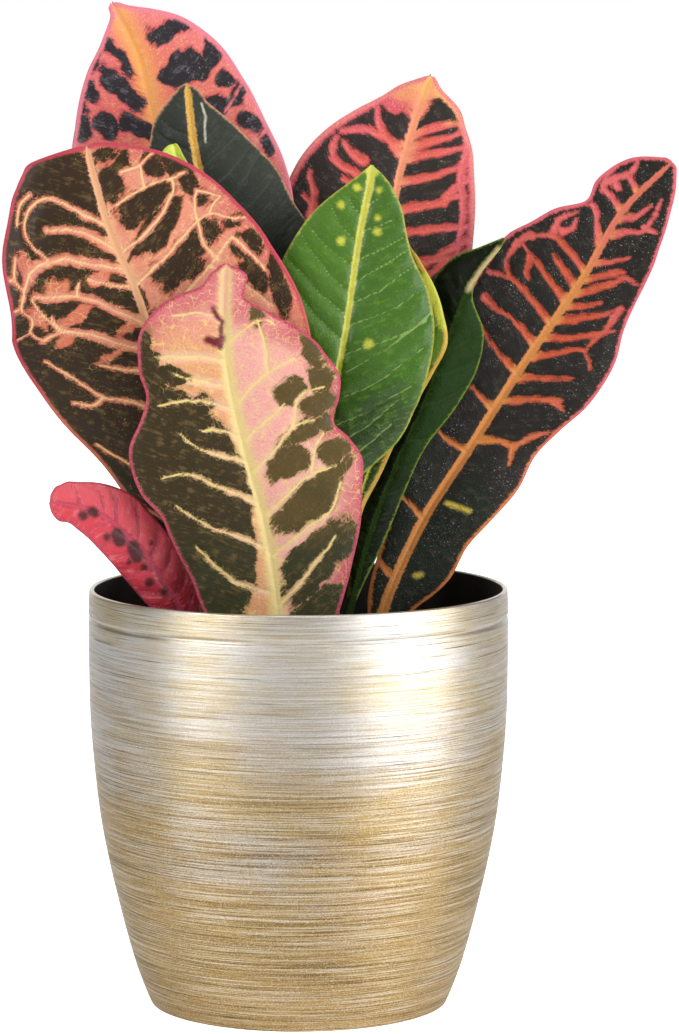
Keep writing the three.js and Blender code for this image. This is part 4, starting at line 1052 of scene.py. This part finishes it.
def buildGrowPot():
    p = growPot
    foot, base, shoulder = p["foot"], p["base"], p["shoulder"]
    rim, wall, step = p["rim"], p["wall"], p["step"]
    top = foot + p["height"]
    band = top - p["band"]
    inside = foot + wall
    profile = [(0.5, foot), (12, foot), (24, foot), (base - 1, foot), (base, foot + 0.8)]
    profile += [(growPotRadius(z), z) for z in np.linspace(foot + 6, band - 1, 12)]
    profile += [(shoulder, band), (rim - step, band + step), (rim - step / 2, band + step + 1)]
    profile += [(rim - 0.1, top - 0.5), (rim - 0.4, top), (rim - wall + 0.2, top), (rim - wall, top - 0.4)]
    profile += [(rim - wall - step, band + step + wall), (shoulder - wall, band + wall)]
    profile += [(growPotRadius(z) - wall, z) for z in np.linspace(band - 2, inside + 3, 8)]
    profile += [(growPotRadius(inside) - wall, inside), (24, inside), (12, inside), (0.5, inside)]
    vertices, faces = turned(profile, p["sides"])
    makePiece("nursery_pot_shell", vertices, faces, [satinMaterial("nursery_pot")], "grow_pot")


def soilMaterial():
    material, tree, shader = newMaterial("compost")
    where = onObject(tree)
    crumbs = cells(tree, where, 480.0)
    fine = grain(tree, where, 1400.0)
    damp = ramp(tree, grain(tree, where, 60.0), 0.4, 0.6, 0.0, 0.6)
    pick = addNode(tree, "ShaderNodeSeparateColor", {0: crumbs["Color"]}).outputs[0]
    colour = blend(tree, pick, srgb(soilLook["dark"]), srgb(soilLook["brown"]))
    colour = blend(tree, ramp(tree, pick, 0.93, 0.96), colour, srgb(soilLook["chip"]))
    colour = blend(tree, damp, colour, srgb(soilLook["damp"]), "MULTIPLY")
    tree.links.new(colour, shader.inputs["Base Color"])
    shader.inputs["Roughness"].default_value = soilLook["roughness"]
    setBump(tree, shader, plus(tree, crumbs["Distance"], fine, 0.5), soilLook["bump"])
    return material


def soilHeight(x, y):
    s = soilShape
    z = np.full_like(x, s["top"] - s["sink"])
    for height, across, back, start in s["swells"]:
        z += height * np.sin(across * x + back * y + start) / 2
    crumbs = np.zeros_like(x)
    for share, scale, layer in s["crumbs"]:
        places = [Vector((u * scale, v * scale, layer)) for u, v in zip(x, y)]
        crumbs += share * np.array([blenderNoise.noise(place) for place in places])
    return np.minimum(z + s["crumbHeight"] * crumbs, s["top"] + s["highest"])


def buildSoil():
    s, p = soilShape, growPot
    floor = p["foot"] + p["wall"] + stemBuild["clearance"]
    shoulder = s["top"] - s["shoulder"]
    edgeRadius, lowRadius = [growPotRadius(z) - p["wall"] - s["shrink"] for z in (shoulder, floor)]
    profile = [(0.5, floor), (15, floor), (lowRadius, floor), (edgeRadius, shoulder)]
    profile += [(radius, s["top"]) for radius in np.linspace(edgeRadius - s["shoulder"], 0.5, s["rings"])]
    vertices, faces = turned(profile, s["sides"])
    onTop = vertices[:, 2] > s["top"] - 0.01
    vertices[onTop, 2] = soilHeight(vertices[onTop, 0], vertices[onTop, 1])
    makePiece("compost", vertices, faces, [soilMaterial()], "soil")


def barkMaterial():
    material, tree, shader = newMaterial("stem_bark")
    where = onObject(tree)
    flow = grain(tree, stretched(tree, where, (500, 500, 60)), 1.0, 4.0, 0.6)
    patch = ramp(tree, grain(tree, where, 120.0), 0.35, 0.65)
    pores = cells(tree, stretched(tree, where, (900, 900, 400)), 1.0)["Distance"]
    colour = blend(tree, patch, srgb(barkLook["green"]), srgb(barkLook["brown"]))
    colour = blend(tree, ramp(tree, flow, 0.45, 0.7, 0.0, 0.7), colour, srgb(barkLook["furrow"]))
    colour = blend(tree, ramp(tree, pores, 0.22, 0.1, 0.0, 0.5), colour, srgb(barkLook["pore"]))
    tree.links.new(colour, shader.inputs["Base Color"])
    shader.inputs["Roughness"].default_value = barkLook["roughness"]
    setBump(tree, shader, flow, barkLook["bump"])
    return material


def ridge(z, node, shape):
    height, above, width = shape
    return height * math.exp(-((z - node - above) / width) ** 2)


def buildStem(name, stem, bark):
    b = stemBuild
    foot, high = soilShape["top"] - b["depth"] + b["clearance"], stem["top"]
    profile = [(0.3, foot)]
    for z in np.arange(foot, high - 2, b["step"]):
        swell = -b["waist"]
        for node in stem["nodes"]:
            swell += ridge(z, node, b["ring"]) - ridge(z, node, b["crease"])
        profile.append((b["radius"] + swell, z))
    for inward, drop in ((0.5, 1.6), (1.1, 0.7), (2, 0.15)):
        profile.append((b["radius"] - inward, high - drop))
    profile.append((0.3, high))
    vertices, faces = turned(profile, b["sides"], stem["at"])
    makePiece(name + "_bark", vertices, faces, [bark], name)


buildGrowPot()
buildSoil()
bark = barkMaterial()
for name, stem in stems.items():
    buildStem(name, stem, bark)
print("nursery pot, soil and stems made")


# Floor, light and camera

stageLook = {"floor": "f4f3f1", "floorRadius": 6000, "floorSides": 96, "floorRoughness": 0.9, "glow": 0.94,
             "bounce": 0.1, "sky": 1.0, "ambient": 0.1}
lights = {
    "key_right": {"at": (1185, -610, 420), "to": (0, 0, 130), "size": 1200, "power": 21.5},
    "fill_left": {"at": (-1010, -800, 680), "to": (0, 0, 150), "size": 750, "power": 10.5},
    "top_soft": {"at": (100, -500, 1400), "to": (0, 0, 150), "size": 900, "power": 6},
    "back_soft": {"at": (0, 1700, 700), "to": (0, 0, 150), "size": 2200, "power": 15},
}
cameraSetup = {"at": (11.77, -1165.4, 274.2), "tilt": 6.561, "focalPixels": 4095.3, "imageHeight": 1034,
               "sensor": 36, "nearMetres": 0.05, "farMetres": 20}


def seenOrNot(tree, unseen, seen):
    # One grey for the camera's own rays and another for the light that goes round
    isSeen = addNode(tree, "ShaderNodeLightPath").outputs["Is Camera Ray"]
    return blend(tree, isSeen, greyLevel(stageLook[unseen]), greyLevel(stageLook[seen]))


def buildFloor():
    radius = stageLook["floorRadius"]
    angles = np.linspace(0, 2 * np.pi, stageLook["floorSides"], endpoint=False)
    ring = [(math.cos(a) * radius, math.sin(a) * radius, 0) for a in angles]
    mesh = bpy.data.meshes.new("floor")
    mesh.from_pydata((np.array(ring) * mm).tolist(), [], [tuple(range(len(ring)))])
    material, tree, shader = newMaterial("pale_floor")
    shader.inputs["Base Color"].default_value = srgb(stageLook["floor"])
    shader.inputs["Roughness"].default_value = stageLook["floorRoughness"]
    shader.inputs["Emission Strength"].default_value = 1.0
    tree.links.new(seenOrNot(tree, "bounce", "glow"), shader.inputs["Emission Color"])
    mesh.materials.append(material)
    floor = bpy.data.objects.new("floor", mesh)
    bpy.context.scene.collection.objects.link(floor)


def buildSky():
    world = bpy.data.worlds.new("studio")
    bpy.context.scene.world = world
    world.use_nodes = True
    tree = world.node_tree
    tree.links.new(seenOrNot(tree, "ambient", "sky"), tree.nodes["Background"].inputs["Color"])


def buildLights():
    for name, light in lights.items():
        data = bpy.data.lights.new(name, "AREA")
        data.size = light["size"] * mm
        data.energy = light["power"]
        lamp = bpy.data.objects.new(name, data)
        lamp.location = Vector(light["at"]) * mm
        aim = Vector(light["to"]) * mm - lamp.location
        lamp.rotation_euler = aim.to_track_quat("-Z", "Y").to_euler()
        lamp.visible_camera = False
        bpy.context.scene.collection.objects.link(lamp)


def buildCamera():
    c = cameraSetup
    data = bpy.data.cameras.new("camera")
    data.sensor_width = c["sensor"]
    data.lens = c["focalPixels"] / c["imageHeight"] * c["sensor"]
    data.clip_start, data.clip_end = c["nearMetres"], c["farMetres"]
    camera = bpy.data.objects.new("camera", data)
    camera.location = Vector(c["at"]) * mm
    camera.rotation_euler = (math.radians(90 - c["tilt"]), 0, 0)
    bpy.context.scene.collection.objects.link(camera)
    bpy.context.scene.camera = camera
    bpy.context.scene.view_settings.view_transform = "Standard"


buildFloor()
buildSky()
buildLights()
buildCamera()
print("stage made")
